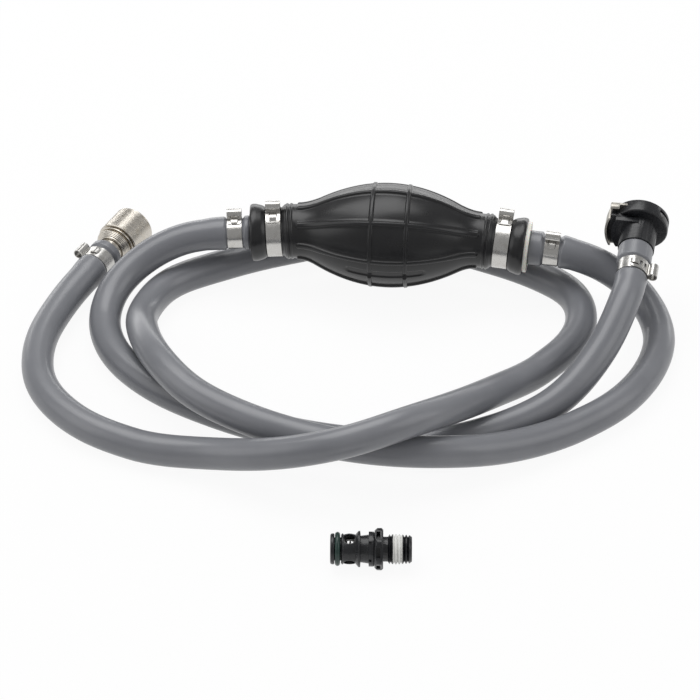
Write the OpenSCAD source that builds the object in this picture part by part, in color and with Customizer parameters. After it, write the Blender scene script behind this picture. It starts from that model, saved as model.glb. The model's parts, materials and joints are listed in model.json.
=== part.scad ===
// Fuel line with a hand primer bulb: ribbed siphon bulb with two check valves, two lengths of
// 3/8 in hose, a knurled metal coupling on the engine end, a black latch coupler on the tank
// end, and the loose threaded tank fitting that the latch coupler plugs onto.
// +X runs along the bulb in the direction of flow, +Z is up, the floor is z = 0 and the
// origin lies on the floor under the middle of the bulb. Millimetres.

/* [Bulb] */
// Outer diameter of the rubber bulb at its belly
bulb_d = 49.2; // [44:0.2:52]
// Length of the bulb over its end rolls
bulb_len = 132; // [128:1:140]
// Length of the swollen part of the bulb
belly_len = 77; // [74:1:78]
// Diameter of the bulb's necks
neck_d = 26; // [25:0.2:28]
// Wall thickness of the rubber
bulb_wall = 3.5; // [2.5:0.1:4.5]
// Length of the ribs along the bulb, with their ends on the necks
rib_len = 88; // [80:1:90]
// Height of the moulded ribs above the rubber
rib_h = 1; // [0.8:0.1:1.6]
// Width of the moulded ribs
rib_w = 2.2; // [1.6:0.1:3]
// Number of ribs along the bulb, an even number
rib_count = 8; // [4:2:12]
// Distance between the two ribs that run around the belly
hoop_gap = 17; // [10:1:24]
// Diameter of the roll at each end of the bulb
roll_d = 27.6; // [26:0.2:28]
// Width of the roll at each end of the bulb
roll_w = 7.2; // [5:0.1:8]

/* [Check valves] */
// Diameter of the valve plugs that the bulb's necks are clamped on
plug_d = 18.8; // [18:0.1:19.4]
// Depth that a valve plug reaches into the bulb
plug_len = 20; // [19:0.5:21]
// Diameter of the valve flange outside the bulb
flange_d = 24.5; // [22:0.1:26]
// Thickness of the valve flange
flange_t = 1.8; // [1.2:0.1:2.4]
// Diameter of the chamber that a valve disc moves in
chamber_d = 14.8; // [14:0.1:15.6]
// Diameter of a valve disc
disc_d = 12.4; // [11.6:0.1:13]
// Distance that a valve disc opens
valve_travel = 2.2; // [1:0.1:3]

/* [Hose] */
// Outer diameter of the hose
hose_d = 15.2; // [14:0.2:15.2]
// Diameter of the barbs, and of the hose bore stretched over them
barb_d = 10.6; // [10:0.1:11]
// Depth that a barb reaches into the hose
barb_len = 17; // [15:0.5:17]
// Diameter of the fuel passage through a barb
passage_d = 6; // [4:0.1:6.4]

/* [Clamps] */
// Width of the ear clamps
band_w = 7; // [6:0.5:7.5]
// Thickness of the ear clamps
band_t = 0.6; // [0.5:0.05:0.8]
// Height of a crimped ear above its band
ear_h = 4.8; // [4:0.1:5.2]

/* [Engine coupling] */
// Diameter of the knurled sleeve
sleeve_d = 20.8; // [20.4:0.1:21]
// Length of the sleeve with its conical tail
sleeve_len = 22; // [21.6:0.1:22.4]
// Distance that the sleeve slides back to let go
sleeve_travel = 3; // [2:0.1:3.4]
// Diameter of the socket that takes the engine's plug
engine_socket_d = 11; // [10.6:0.1:11.2]
// Number of locking balls
ball_count = 4; // [3:1:4]
// Distance that the engine coupling's valve opens
engine_valve_travel = 2.4; // [1:0.1:2.6]

/* [Tank coupler] */
// Diameter of the coupler's front collar
collar_d = 27; // [26.8:0.1:28]
// Length of the front collar
collar_len = 8; // [8:0.1:9]
// Diameter of the rear barrel
barrel_d = 17.4; // [17:0.1:18]
// Diameter of the socket that takes the tank fitting
tank_socket_d = 17.2; // [17:0.1:17.4]
// Thickness of the latch plate
latch_t = 1.2; // [0.8:0.1:1.3]
// Distance that the latch is pressed in
latch_travel = 2; // [1:0.1:2.1]
// Width of the latch button
button_w = 18.6; // [16:0.2:19]
// Distance that the coupler's valve pin opens
pin_travel = 2.2; // [1:0.1:2.4]

/* [Tank fitting] */
// Width of the hexagon across its flats
hex_af = 17.4; // [17:0.1:19]
// Outer diameter of the pipe thread at its large end, for a 1/4 in taper thread
thread_d = 13.7; // [13.4:0.1:14]
// Pitch of the thread
thread_pitch = 1.55; // [1.4:0.01:1.6]
// Diameter of the snap cone that the latch plate holds
snap_d = 16.6; // [16:0.1:16.8]
// Outer diameter of the seal ring
seal_d = 15.6; // [15:0.1:16]
// Distance that the tank fitting's valve opens
fitting_valve_travel = 2; // [1:0.1:3]

/* [Hidden] */

$fn = 96;
eps = 0.01;
// running clearance of a small sliding piece, and gap between faces that only meet
run = 0.1;
meet = 0.05;

// The bulb lies with its ends on the hose that loops under it. Its necks are bent: they turn
// to the front and droop, both about a point inside the bulb.
neck_lift = 2.6;
axis_h = hose_d + neck_d / 2 + neck_lift;
bulb_end = bulb_len / 2;
neck_pivot = 42;
neck_yaw = 4;
neck_droop = 3.5;
neck_dir = [cos(neck_droop) * cos(neck_yaw), -cos(neck_droop) * sin(neck_yaw), -sin(neck_droop)];
// Point on the axis of a neck, x from the middle of the bulb; side 1 is the outlet, -1 the inlet.
function neck_point(side, x) = [side * neck_pivot, 0, axis_h]
    + (x - neck_pivot) * [side * neck_dir[0], neck_dir[1], neck_dir[2]];

// Height of a hose that lies on the floor
lie = hose_d / 2;
// Where the hose ends that are pushed over the valves' barbs begin and end
hose_first_x = 67;
hose_second_x = 86;
// Route of the hose from the bulb's inlet to the tank coupler. The first and last stretches
// are the hose ends pushed over their barbs.
tank_route = [
    neck_point(-1, hose_first_x), neck_point(-1, hose_second_x), [-102, -6, 25], [-116, -12.5, 19.5],
    [-129, -27, 12.5], [-132.5, -47, lie], [-124.5, -71, lie], [-105, -92, lie], [-78, -107.5, lie],
    [-46, -119.5, lie], [-10, -126, lie], [28, -125, lie], [62, -110, lie], [88, -91, 11.5],
    [106, -68, 23.5], [115.6, -43, 34.6], [117.32, -33.6, 36.2], [119, -12, 39.2]];
// Route of the hose from the bulb's outlet to the engine coupling: once round the right-hand
// side, back under the bulb, and round the front again to the left-hand side.
engine_route = [
    neck_point(1, hose_first_x), neck_point(1, hose_second_x), [107, -5, 20.5], [122, -13, 12.5],
    [132, -34, lie], [130, -59, lie], [117, -86, lie], [93, -109, lie], [64, -128, 11], [34, -141, 17.5],
    [4, -143, 19], [-26, -139, 20], [-56, -130.5, 22.5], [-83, -115, 23.8], [-102, -91.5, 23.8],
    [-111.5, -66, 17.8], [-114, -41, 9.2], [-105, -18, lie], [-82, -2, lie], [-52, 13, lie],
    [-2, 28, lie], [48, 15, lie], [74, 3, lie], [90, -10, lie], [95, -29, lie],
    [90, -48, lie], [75, -69, lie], [58, -92, 15], [42, -117, 26], [20, -142, 35.6],
    [-8, -157, 34.2], [-40, -155, 23.4], [-73, -144, 11.6], [-105, -137, lie], [-136, -122, lie],
    [-156.5, -97, lie], [-161, -67, lie], [-154, -38, 8.4], [-144.3, -17.2, 10.5],
    [-136.3, -0.2, 10.5]];

// The engine coupling lies flat, turned from +X, and the tank coupler is held up by its hose.
engine_end = engine_route[len(engine_route) - 1];
engine_run = engine_end - engine_route[len(engine_route) - 2];
engine_turn = atan2(engine_run[1], engine_run[0]);
tank_end = tank_route[len(tank_route) - 1];
tank_run = tank_end - tank_route[len(tank_route) - 2];
tank_turn = atan2(tank_run[1], tank_run[0]);
tank_tilt = asin(tank_run[2] / norm(tank_run));
// The tank fitting lies in front of the bulb on one flat of its hexagon.
fitting_place = [-11, -202.1];
fitting_turn = 4.2;
fitting_h = hex_af / 2;

/* ---- places ---- */

// Inside each of these, local +Z runs along the piece, away from the bulb or the hose,
// local +X is down and local +Y lies to the left of local +Z.
module at_middle() translate([0, 0, axis_h]) rotate([0, 90, 0]) children();
module at_outlet(x) translate(neck_point(1, x)) rotate([0, 0, -neck_yaw])
    rotate([0, 90 + neck_droop, 0]) children();
module at_inlet(x) translate(neck_point(-1, x)) rotate([0, 0, 180 + neck_yaw])
    rotate([0, 90 + neck_droop, 0]) children();
module at_engine() translate(engine_end) rotate([0, 0, engine_turn]) rotate([0, 90, 0]) children();
module at_tank() translate(tank_end) rotate([0, 0, tank_turn]) rotate([0, 90 - tank_tilt, 0]) children();
module at_fitting() translate([fitting_place[0], fitting_place[1], fitting_h])
    rotate([0, 0, fitting_turn]) rotate([0, 90, 0]) children();

/* ---- shared shapes ---- */

// A solid of revolution from [radius, height] points.
module turned(points) rotate_extrude() polygon(points);

module ring(outer, inner, height) difference() {
    cylinder(r = outer, h = height);
    translate([0, 0, -1]) cylinder(r = inner, h = height + 2);
}

// Unit vectors, and the two that span the plane across a direction.
function unit(v) = v / norm(v);
function side(d) = unit(cross([0, 0, 1], d));
function above(d) = cross(d, side(d));

// Direction of a route at its point i: along the bisector of the two stretches that meet.
function heading(p, i) =
    i == 0 ? unit(p[1] - p[0]) :
    i == len(p) - 1 ? unit(p[i] - p[i - 1]) :
    unit(unit(p[i] - p[i - 1]) + unit(p[i + 1] - p[i]));

// One closed tube through rings of points: rings[i][j] is point j of ring i.
module skin(rings) {
    n = len(rings[0]);
    m = len(rings);
    points = [for (r = rings) for (q = r) q];
    walls = [for (i = [0:m - 2]) for (j = [0:n - 1])
        let (a = i * n + j, b = i * n + (j + 1) % n)
        each [[a, b, b + n], [a, b + n, a + n]]];
    caps = [for (j = [1:n - 2]) each [[0, j + 1, j],
        [(m - 1) * n, (m - 1) * n + j, (m - 1) * n + j + 1]]];
    polyhedron([for (q = points) q], [for (f = concat(walls, caps)) [f[0], f[2], f[1]]]);
}

tube_sides = 10;
tube_lap = 0.6;
// The free stretch of a hose between its two ends, which it runs into by the lap.
module hose_tube(route) {
    n = len(route);
    first = heading(route, 0);
    last = heading(route, n - 1);
    centres = concat([route[1] - tube_lap * first], [for (i = [2:n - 3]) route[i]],
        [route[n - 2] + tube_lap * last]);
    ways = concat([first], [for (i = [2:n - 3]) heading(route, i)], [last]);
    skin([for (i = [0:len(centres) - 1]) let (s = side(ways[i]), u = above(ways[i]))
        [for (j = [0:tube_sides - 1]) let (t = 360 * j / tube_sides)
            centres[i] + hose_d / 2 * (cos(t) * s + sin(t) * u)]]);
}

// The end of a hose over a barb: it swells at its mouth and over the barb's tip, and is
// drawn in under the clamp. z = 0 is the mouth and the hose runs towards -Z.
swell_r = hose_d / 2 + 0.7;
pinch_r = hose_d / 2 - 0.65;
module hose_end(clamp_z, reach) difference() {
    turned([[0, 0], [swell_r - 0.6, 0], [swell_r, -0.6],
        [swell_r, clamp_z + band_w / 2 + 1.4], [pinch_r, clamp_z + band_w / 2 + 0.2],
        [pinch_r, clamp_z - band_w / 2 - 0.2], [hose_d / 2 + 0.3, clamp_z - band_w / 2 - 1.4],
        [hose_d / 2 + 0.15, -reach], [0, -reach]]);
    translate([0, 0, -barb_len]) cylinder(d = barb_d + 2 * meet, h = barb_len + 1);
}

// Barbed stem along -Z from z = 0, with its passage still to be cut.
barb_step = barb_len / 4;
module barbs() {
    stem_r = barb_d / 2 - 0.75;
    translate([0, 0, -barb_len + meet]) cylinder(r = stem_r, h = barb_len);
    for (k = [0:3]) translate([0, 0, -barb_len + meet + k * barb_step])
        cylinder(r1 = stem_r, r2 = barb_d / 2, h = barb_step * 0.7);
}

// Ear clamp: a band with a crimped ear, slots at some turns from the ear and a raised tongue.
module ear_clamp(inner_r, ear_turn, slots, tongue) rotate([0, 0, ear_turn])
translate([0, 0, -band_w / 2]) {
    outer_r = inner_r + band_t;
    slot_w = 1.2;
    ear_head = 4.8;
    ear_neck = 3.2;
    difference() {
        ring(outer_r, inner_r, band_w);
        for (turn = slots) rotate([0, 0, turn])
            translate([inner_r - 1, -slot_w / 2, band_w / 2 - 1.3]) cube([3, slot_w, 2.6]);
        translate([inner_r - 1, -ear_neck / 2 + band_t, -1])
            cube([3, ear_neck - 2 * band_t, band_w + 2]);
    }
    linear_extrude(band_w) difference() {
        union() {
            translate([inner_r + 0.1, -ear_neck / 2]) square([ear_h - 2, ear_neck]);
            intersection() {
                translate([outer_r + ear_h - ear_head / 2, 0]) circle(d = ear_head);
                translate([outer_r, -ear_head / 2]) square([ear_h, ear_head]);
            }
        }
        translate([inner_r - 1, -ear_neck / 2 + band_t]) square([ear_h - 1, ear_neck - 2 * band_t]);
        translate([outer_r + ear_h - ear_head / 2, 0]) circle(d = ear_head - 2 * band_t);
    }
    rotate([0, 0, tongue]) translate([outer_r - 0.15, -2, band_w / 2 - 1.6]) cube([0.9, 4, 3.2]);
}

// Coil spring from z = 0 to z = height: one round wire that climbs steadily.
coil_rings = 16;
wire_sides = 6;
function coil_point(r, height, turns, wire, t) =
    [r * cos(360 * t), r * sin(360 * t), wire / 2 + (height - wire) * t / turns];
module coil(r, height, turns, wire) {
    steps = coil_rings * turns;
    pitch = (height - wire) / turns;
    echo(coil_mean_r = r, gap_between_turns = pitch - wire);
    skin([for (i = [0:steps])
        let (t = i / coil_rings, a = 360 * t,
            d = unit([-sin(a) * 2 * PI * r, cos(a) * 2 * PI * r, pitch]),
            s = [cos(a), sin(a), 0], u = cross(d, s))
        [for (j = [0:wire_sides - 1]) let (w = 360 * j / wire_sides)
            coil_point(r, height, turns, wire, t) + wire / 2 * (cos(w) * s + sin(w) * u)]]);
}

// Cross-shaped tail of a valve, from z = 0 to z = length: it ends on the floor of the
// valve's room when the valve is fully open, and fuel flows round it.
tail_t = 0.9;
module valve_tail(radius, length) for (turn = [0, 90]) rotate([0, 0, turn])
    translate([-radius, -tail_t / 2, 0]) cube([2 * radius, tail_t, length]);

/* ---- bulb ---- */

neck_r = neck_d / 2;
belly_half = belly_len / 2;
belly_step = 2;
// how far the belly and the neck blend into each other
belly_blend = 3;
plug_r = plug_d / 2;
roll_r = roll_d / 2;
roll_start = bulb_end - roll_w;
// centre of the bulb's clamp bands, in the groove just inside the end rolls
bulb_band_x = roll_start - 0.4 - band_w / 2;
groove_r = neck_r - 1.5;

// Radius of the rubber at a distance x from the middle: a parabola that blends into the necks.
function belly_r(x) = let (
        b = bulb_d / 2 - (bulb_d / 2 - neck_r) * pow(x / belly_half, 2),
        apart = min(belly_blend, abs(b - neck_r)))
    max(b, neck_r) + pow(belly_blend - apart, 2) / (4 * belly_blend);
// The end roll, the groove for the clamp and two fine ridges beside it, from outside in.
ridge_pitch = 1.8;
function ridge(x) = [[neck_r, x + 0.7], [neck_r + 0.5, x + 0.3],
    [neck_r + 0.5, x - 0.3], [neck_r, x - 0.7]];
ridge_x = bulb_band_x - band_w / 2 - 3.1;
bulb_end_points = concat(
    [[plug_r, bulb_end], [roll_r - 1.4, bulb_end], [roll_r - 0.4, bulb_end - 0.4], [roll_r, bulb_end - 1.4],
     [roll_r, bulb_end - 2.2], [roll_r - 0.8, roll_start + 1.6], [groove_r + 0.2, roll_start],
     [groove_r, roll_start - 0.2], [groove_r, bulb_band_x - band_w / 2 - 0.2],
     [neck_r, bulb_band_x - band_w / 2 - 2.2]],
    ridge(ridge_x), ridge(ridge_x - ridge_pitch));
belly_xs = [for (x = [0:belly_step:neck_pivot]) x];
// The cavity runs on past the bend of the necks, where the bores of the necks take over.
cavity_end = neck_pivot + 2;
// Each neck starts this far inside the bend, so that no wedge stays open
neck_lap = 0.7;

cavity = concat([[0, cavity_end], [plug_r, cavity_end]],
    [for (i = [len(belly_xs) - 1:-1:0])
        [max(plug_r, belly_r(belly_xs[i]) - bulb_wall), belly_xs[i]]]);

module bulb_belly() rotate_extrude() polygon(concat(
    [[0, neck_pivot + neck_lap], [neck_r, neck_pivot + neck_lap]],
    [for (i = [len(belly_xs) - 1:-1:0]) [belly_r(belly_xs[i]), belly_xs[i]]],
    [for (i = [1:len(belly_xs) - 1]) [belly_r(belly_xs[i]), -belly_xs[i]]],
    [[neck_r, -neck_pivot - neck_lap], [0, -neck_pivot - neck_lap]]));
module bulb_neck() turned(concat([[0, bulb_end]], bulb_end_points,
    [[neck_r, neck_pivot - neck_lap], [0, neck_pivot - neck_lap]]));
module neck_bore() translate([0, 0, neck_pivot]) cylinder(r = plug_r, h = bulb_end);

// Ribs along the bulb: thin slabs cut to the shape of the bulb, grown by the rib's height.
rib_half = rib_len / 2;
// turn of the first rib about the bulb's axis
rib_turn = 39.2;
module bulb_ribs() intersection() {
    turned(concat([[neck_r - 1.5, rib_half], [neck_r + rib_h - 0.6, rib_half],
         [neck_r + rib_h, rib_half - 1]],
        [for (x = [neck_pivot:-belly_step:-neck_pivot]) [belly_r(x) + rib_h, x]],
        [[neck_r + rib_h, 1 - rib_half], [neck_r + rib_h - 0.6, -rib_half], [neck_r - 1.5, -rib_half]],
        [for (x = [-neck_pivot:belly_step:neck_pivot]) [belly_r(x) - 1.5, x]]));
    for (k = [0:rib_count / 2 - 1]) rotate([0, 0, rib_turn + 360 * k / rib_count])
        translate([-bulb_d, -rib_w / 2, -rib_half]) cube([2 * bulb_d, rib_w, rib_len]);
}
// middle of the two hoops
hoop_mid = 1;
// Long oval recess across the hoops, low on one side.
recess_turn = 102.6;
recess_len = 38;
recess_w = 4.4;
recess_deep = 0.7;
module bulb_recess() rotate([0, 0, recess_turn - 180]) intersection() {
    difference() {
        cylinder(r = bulb_d, h = recess_len, center = true);
        turned(concat([[0, -belly_half]],
            [for (x = [-belly_half:belly_step:belly_half]) [belly_r(x) - recess_deep, x]],
            [[0, belly_half]]));
    }
    rotate([0, 90, 0]) linear_extrude(bulb_d) {
        square([recess_len - recess_w, recess_w], center = true);
        for (s = [-1, 1]) translate([s * (recess_len - recess_w) / 2, 0]) circle(d = recess_w);
    }
}

module bulb() color("#1c1d1f") {
    difference() {
        union() {
            at_middle() bulb_belly();
            at_outlet(0) bulb_neck();
            at_inlet(0) bulb_neck();
        }
        at_middle() {
            rotate_extrude() polygon(concat(cavity,
                [for (i = [len(cavity) - 1:-1:0]) if (cavity[i][1] > 0) [cavity[i][0], -cavity[i][1]]]));
            bulb_recess();
        }
        at_outlet(0) neck_bore();
        at_inlet(0) neck_bore();
    }
    at_middle() {
        bulb_ribs();
        for (s = [-1, 1]) let (x = hoop_mid + s * hoop_gap / 2) translate([0, 0, x - rib_w / 2])
            ring(belly_r(x) + rib_h, belly_r(x) - 1.5, rib_w);
    }
}

/* ---- check valves, in local Z from the bulb's end face, outwards ---- */

chamber_r = chamber_d / 2;
disc_t = 1.7;
seat_wall = 5;
stop_t = 3;
passage_r = passage_d / 2;
// Where the inlet's seat and the outlet's end wall lie
inlet_seat_z = -seat_wall;
outlet_seat_z = -plug_len + seat_wall;
spring_r = 4.2;
spring_wire = 0.6;

// The inlet's plug has no flange, only a low step that the hose stands against.
inlet_step_r = 8.8;
inlet_step_t = 0.6;
module valve_shell(outer_r, step_t) {
    translate([0, 0, -plug_len]) cylinder(r = plug_r, h = plug_len);
    cylinder(r = outer_r, h = step_t);
    translate([0, 0, step_t]) mirror([0, 0, 1]) barbs();
}
module valve_passage() translate([0, 0, -plug_len - 1])
    cylinder(r = passage_r, h = plug_len + flange_t + barb_len + 2);

module inlet_valve_body() color("#17181a") at_inlet(bulb_end) difference() {
    valve_shell(inlet_step_r, inlet_step_t);
    valve_passage();
    translate([0, 0, -plug_len - 1]) cylinder(r = chamber_r, h = plug_len + 1 - seat_wall);
}
module outlet_valve_body() color("#e9e7df") at_outlet(bulb_end) difference() {
    valve_shell(flange_d / 2, flange_t);
    valve_passage();
    translate([0, 0, -plug_len - 1]) cylinder(r = chamber_r, h = plug_len + 1 - stop_t);
}
disc_room = plug_len - seat_wall - stop_t;
// Valve disc facing +Z as it opens. Its four guide wings stop it at the end of its travel.
wing_h = disc_room - disc_t - valve_travel - 2 * meet;
module valve_disc() {
    cylinder(d = disc_d, h = disc_t);
    wing_r = chamber_r - 2 * run;
    for (k = [0:3]) rotate([0, 0, 90 * k]) translate([spring_r + 1, -0.5, 0])
        cube([wing_r - spring_r - 1, 1, disc_t + wing_h]);
}
spring_len = disc_room - disc_t - 3 * meet;
module inlet_valve_disc() color("#c8452e") at_inlet(bulb_end)
    translate([0, 0, inlet_seat_z - meet]) mirror([0, 0, 1]) valve_disc();
module inlet_valve_spring() color("silver") at_inlet(bulb_end)
    translate([0, 0, inlet_seat_z - disc_t - 2 * meet]) mirror([0, 0, 1])
        coil(spring_r, spring_len, 5, spring_wire);
module inlet_valve_cage() color("#17181a") at_inlet(bulb_end) translate([0, 0, -plug_len])
    ring(chamber_r - meet, passage_r + 0.4, stop_t);
module outlet_valve_disc() color("#c8452e") at_outlet(bulb_end)
    translate([0, 0, outlet_seat_z + meet]) valve_disc();
module outlet_valve_spring() color("silver") at_outlet(bulb_end)
    translate([0, 0, outlet_seat_z + disc_t + 2 * meet]) coil(spring_r, spring_len, 5, spring_wire);
module outlet_valve_seat() color("#e9e7df") at_outlet(bulb_end) translate([0, 0, -plug_len])
    ring(chamber_r - meet, passage_r + 0.4, seat_wall);

/* ---- clamps ---- */

// Distance of each clamp's middle from the mouth of its hose end
inlet_clamp_in = 7.2;
outlet_clamp_in = 11;
engine_clamp_in = 8.5;
tank_clamp_in = 14;
inlet_mouth_x = bulb_end + inlet_step_t;
outlet_mouth_x = bulb_end + flange_t;
hose_clamp_r = pinch_r + 0.02;
bulb_clamp_r = groove_r + 0.02;

side_slots = [45, 62, 79];
module bulb_clamp_inlet() color("silver") at_inlet(bulb_band_x)
    ear_clamp(bulb_clamp_r, 188, side_slots, -24);
module bulb_clamp_outlet() color("silver") at_outlet(bulb_band_x)
    ear_clamp(bulb_clamp_r, 145, -side_slots, 24);
module hose_clamp_inlet() color("silver") at_inlet(inlet_mouth_x + inlet_clamp_in)
    ear_clamp(hose_clamp_r, 202, side_slots, -24);
module hose_clamp_outlet() color("silver") at_outlet(outlet_mouth_x + outlet_clamp_in)
    ear_clamp(hose_clamp_r, 188, -side_slots, 24);
module hose_clamp_tank() color("silver") at_tank() translate([0, 0, -tank_clamp_in])
    ear_clamp(hose_clamp_r, 265, [-32, -52], -76);
module hose_clamp_engine() color("silver") at_engine() translate([0, 0, -engine_clamp_in])
    ear_clamp(hose_clamp_r, 115, -side_slots, 56);

/* ---- hoses ---- */

module tank_hose() color("#70747a") {
    hose_tube(tank_route);
    at_inlet(inlet_mouth_x) mirror([0, 0, 1])
        hose_end(-inlet_clamp_in, hose_second_x - inlet_mouth_x);
    at_tank() hose_end(-tank_clamp_in, norm(tank_route[len(tank_route) - 2] - tank_end));
}
module engine_hose() color("#70747a") {
    hose_tube(engine_route);
    at_outlet(outlet_mouth_x) mirror([0, 0, 1])
        hose_end(-outlet_clamp_in, hose_second_x - outlet_mouth_x);
    at_engine() hose_end(-engine_clamp_in, norm(engine_route[len(engine_route) - 2] - engine_end));
}

/* ---- engine coupling, in local Z from the mouth of its hose ---- */

coupling_barrel_r = 7.4;
coupling_front = 25;
sleeve_z = 3.4;
sleeve_r = sleeve_d / 2;
socket_r = engine_socket_d / 2;
engine_seat_z = 13.5;
socket_floor_z = 15;
seat_hole_r = 2.4;
poppet_room_r = 3.8;
poppet_room_z = 6;
poppet_head_z = engine_seat_z - 1.6;
poppet_spring_r = 3.2;
engine_passage_r = 2.2;
ball_z = 20;
ball_r = (coupling_barrel_r - socket_r) / 2;
ball_hole_r = ball_r + meet;
oring_r = 0.7;
oring_groove_r = socket_r + 2 * oring_r + meet;
oring_z = 17.3;
snap_z = 12.1;
snap_t = 0.8;
snap_r = 8.4;
lip_r = coupling_barrel_r + run;
spring_room_r = 8.7;
land_z = 18.4;
// The body steps down behind the sleeve's tail, which stops the sleeve from coming off
tail_body_r = 6.2;
tail_step_z = 6.5;
tail_bore_r = tail_body_r + 0.15;
sleeve_room_z = 11.8;
relief_z = ball_z + sleeve_travel - 1.2;

module engine_coupling_body() color("#b9b6ae") at_engine() difference() {
    union() {
        barbs();
        turned([[0, 0], [5, 0], [5, 0.9], [6, 1], [tail_body_r, 1.3], [tail_body_r, tail_step_z],
            [coupling_barrel_r, tail_step_z + 0.4], [coupling_barrel_r, coupling_front - 0.4],
            [coupling_barrel_r - 0.4, coupling_front], [0, coupling_front]]);
    }
    translate([0, 0, -barb_len - 1]) cylinder(r = engine_passage_r, h = barb_len + poppet_room_z + 2);
    translate([0, 0, poppet_room_z]) cylinder(r = poppet_room_r, h = engine_seat_z - poppet_room_z);
    translate([0, 0, engine_seat_z - 1]) cylinder(r = seat_hole_r, h = 4);
    translate([0, 0, socket_floor_z]) cylinder(r = socket_r, h = coupling_front);
    translate([0, 0, oring_z - oring_r - meet]) cylinder(r = oring_groove_r, h = 2 * (oring_r + meet));
    for (k = [0:ball_count - 1]) rotate([0, 0, 360 * (k + 0.5) / ball_count])
        translate([0, 0, ball_z]) rotate([0, 90, 0]) cylinder(r = ball_hole_r, h = sleeve_r);
    translate([0, 0, snap_z]) ring(sleeve_r, coupling_barrel_r - 0.5, snap_t);
}
module engine_snap_ring() color("#9a9a98") at_engine() translate([0, 0, snap_z + meet])
    difference() {
        ring(snap_r, coupling_barrel_r - 0.4, snap_t - 2 * meet);
        translate([0, -1, -1]) cube([snap_r + 1, 2, 3]);
    }
module engine_sleeve() color("#c9c5bc") at_engine() translate([0, 0, sleeve_z]) difference() {
    // conical tail, groove, thin ring, groove and the knurled part
    turned([[0, 0], [6.8, 0], [7.3, 0.6], [9.2, 2.7], [9.3, 3], [8.3, 3.2], [8.3, 3.9],
        [9.7, 4.1], [9.8, 4.5], [9.7, 4.9], [9, 5], [9, 5.6], [sleeve_r - 0.2, 5.8], [sleeve_r, 6.1],
        [sleeve_r, sleeve_len - 0.9], [sleeve_r - 0.3, sleeve_len - 0.4],
        [sleeve_r - 0.9, sleeve_len], [0, sleeve_len]]);
    translate([0, 0, -1]) cylinder(r = tail_bore_r, h = sleeve_len);
    translate([0, 0, tail_step_z - 0.1 - sleeve_z]) cylinder(r = lip_r, h = sleeve_len);
    translate([0, 0, sleeve_room_z - sleeve_z]) cylinder(r = spring_room_r, h = land_z - sleeve_room_z);
    translate([0, 0, relief_z - sleeve_z]) cylinder(r = spring_room_r, h = 2.2);
}
module engine_sleeve_spring() color("silver") at_engine() translate([0, 0, snap_z + snap_t + meet])
    coil((coupling_barrel_r + spring_room_r) / 2, land_z - snap_z - snap_t - 2 * meet, 3, 0.6);
module engine_lock_balls() color("silver") at_engine()
    for (k = [0:ball_count - 1]) rotate([0, 0, 360 * (k + 0.5) / ball_count])
        translate([(socket_r + coupling_barrel_r) / 2, 0, ball_z]) sphere(r = ball_r - 0.03);
module engine_valve_poppet() color("#caa24a") at_engine() {
    tail_z = poppet_room_z + engine_valve_travel + meet;
    translate([0, 0, tail_z]) valve_tail(2.7, poppet_head_z - tail_z + eps);
    translate([0, 0, poppet_head_z]) cylinder(r = poppet_room_r - 0.2, h = 1.5);
    translate([0, 0, engine_seat_z - 0.2]) cylinder(r = 1.4, h = 3.6);
}
module engine_valve_spring() color("silver") at_engine() translate([0, 0, poppet_room_z + meet])
    coil(poppet_spring_r, poppet_head_z - poppet_room_z - 2 * meet, 3, 0.5);
module engine_socket_seal() color("#202020") at_engine() translate([0, 0, oring_z])
    rotate_extrude() translate([socket_r + oring_r + meet, 0]) circle(r = oring_r, $fn = 32);

/* ---- tank coupler, in local Z from the mouth of its hose; local +Y is the latch side ---- */

barrel_r = barrel_d / 2;
collar_z = 13.4;
collar_r = collar_d / 2;
coupler_front = collar_z + collar_len;
tank_socket_r = tank_socket_d / 2;
socket_wall = 2;
socket_step_z = 12;
nose_bore_r = 7.5;
nose_floor_z = 1.8;
// The latch plate's slot, and the pocket behind it that the button moves in
slot_z = 17.2;
slot_t = latch_t + 2 * run;
slot_half = 9.7;
pocket_z = collar_z - 0.1;
pocket_end_z = slot_z + slot_t + 0.6;
plate_wide = 11.9;
wide_from = 6.2;
pocket_r = tank_socket_r + socket_wall;
button_z = 12.4;
pin_room_r = 3.1;
pin_hole_r = 1.9;
pin_seat_z = 0.8;
pin_head_z = pin_seat_z - 1.8;
pin_room_z = -8;
pin_spring_r = 2.65;
coupler_passage_r = 1.8;

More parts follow.
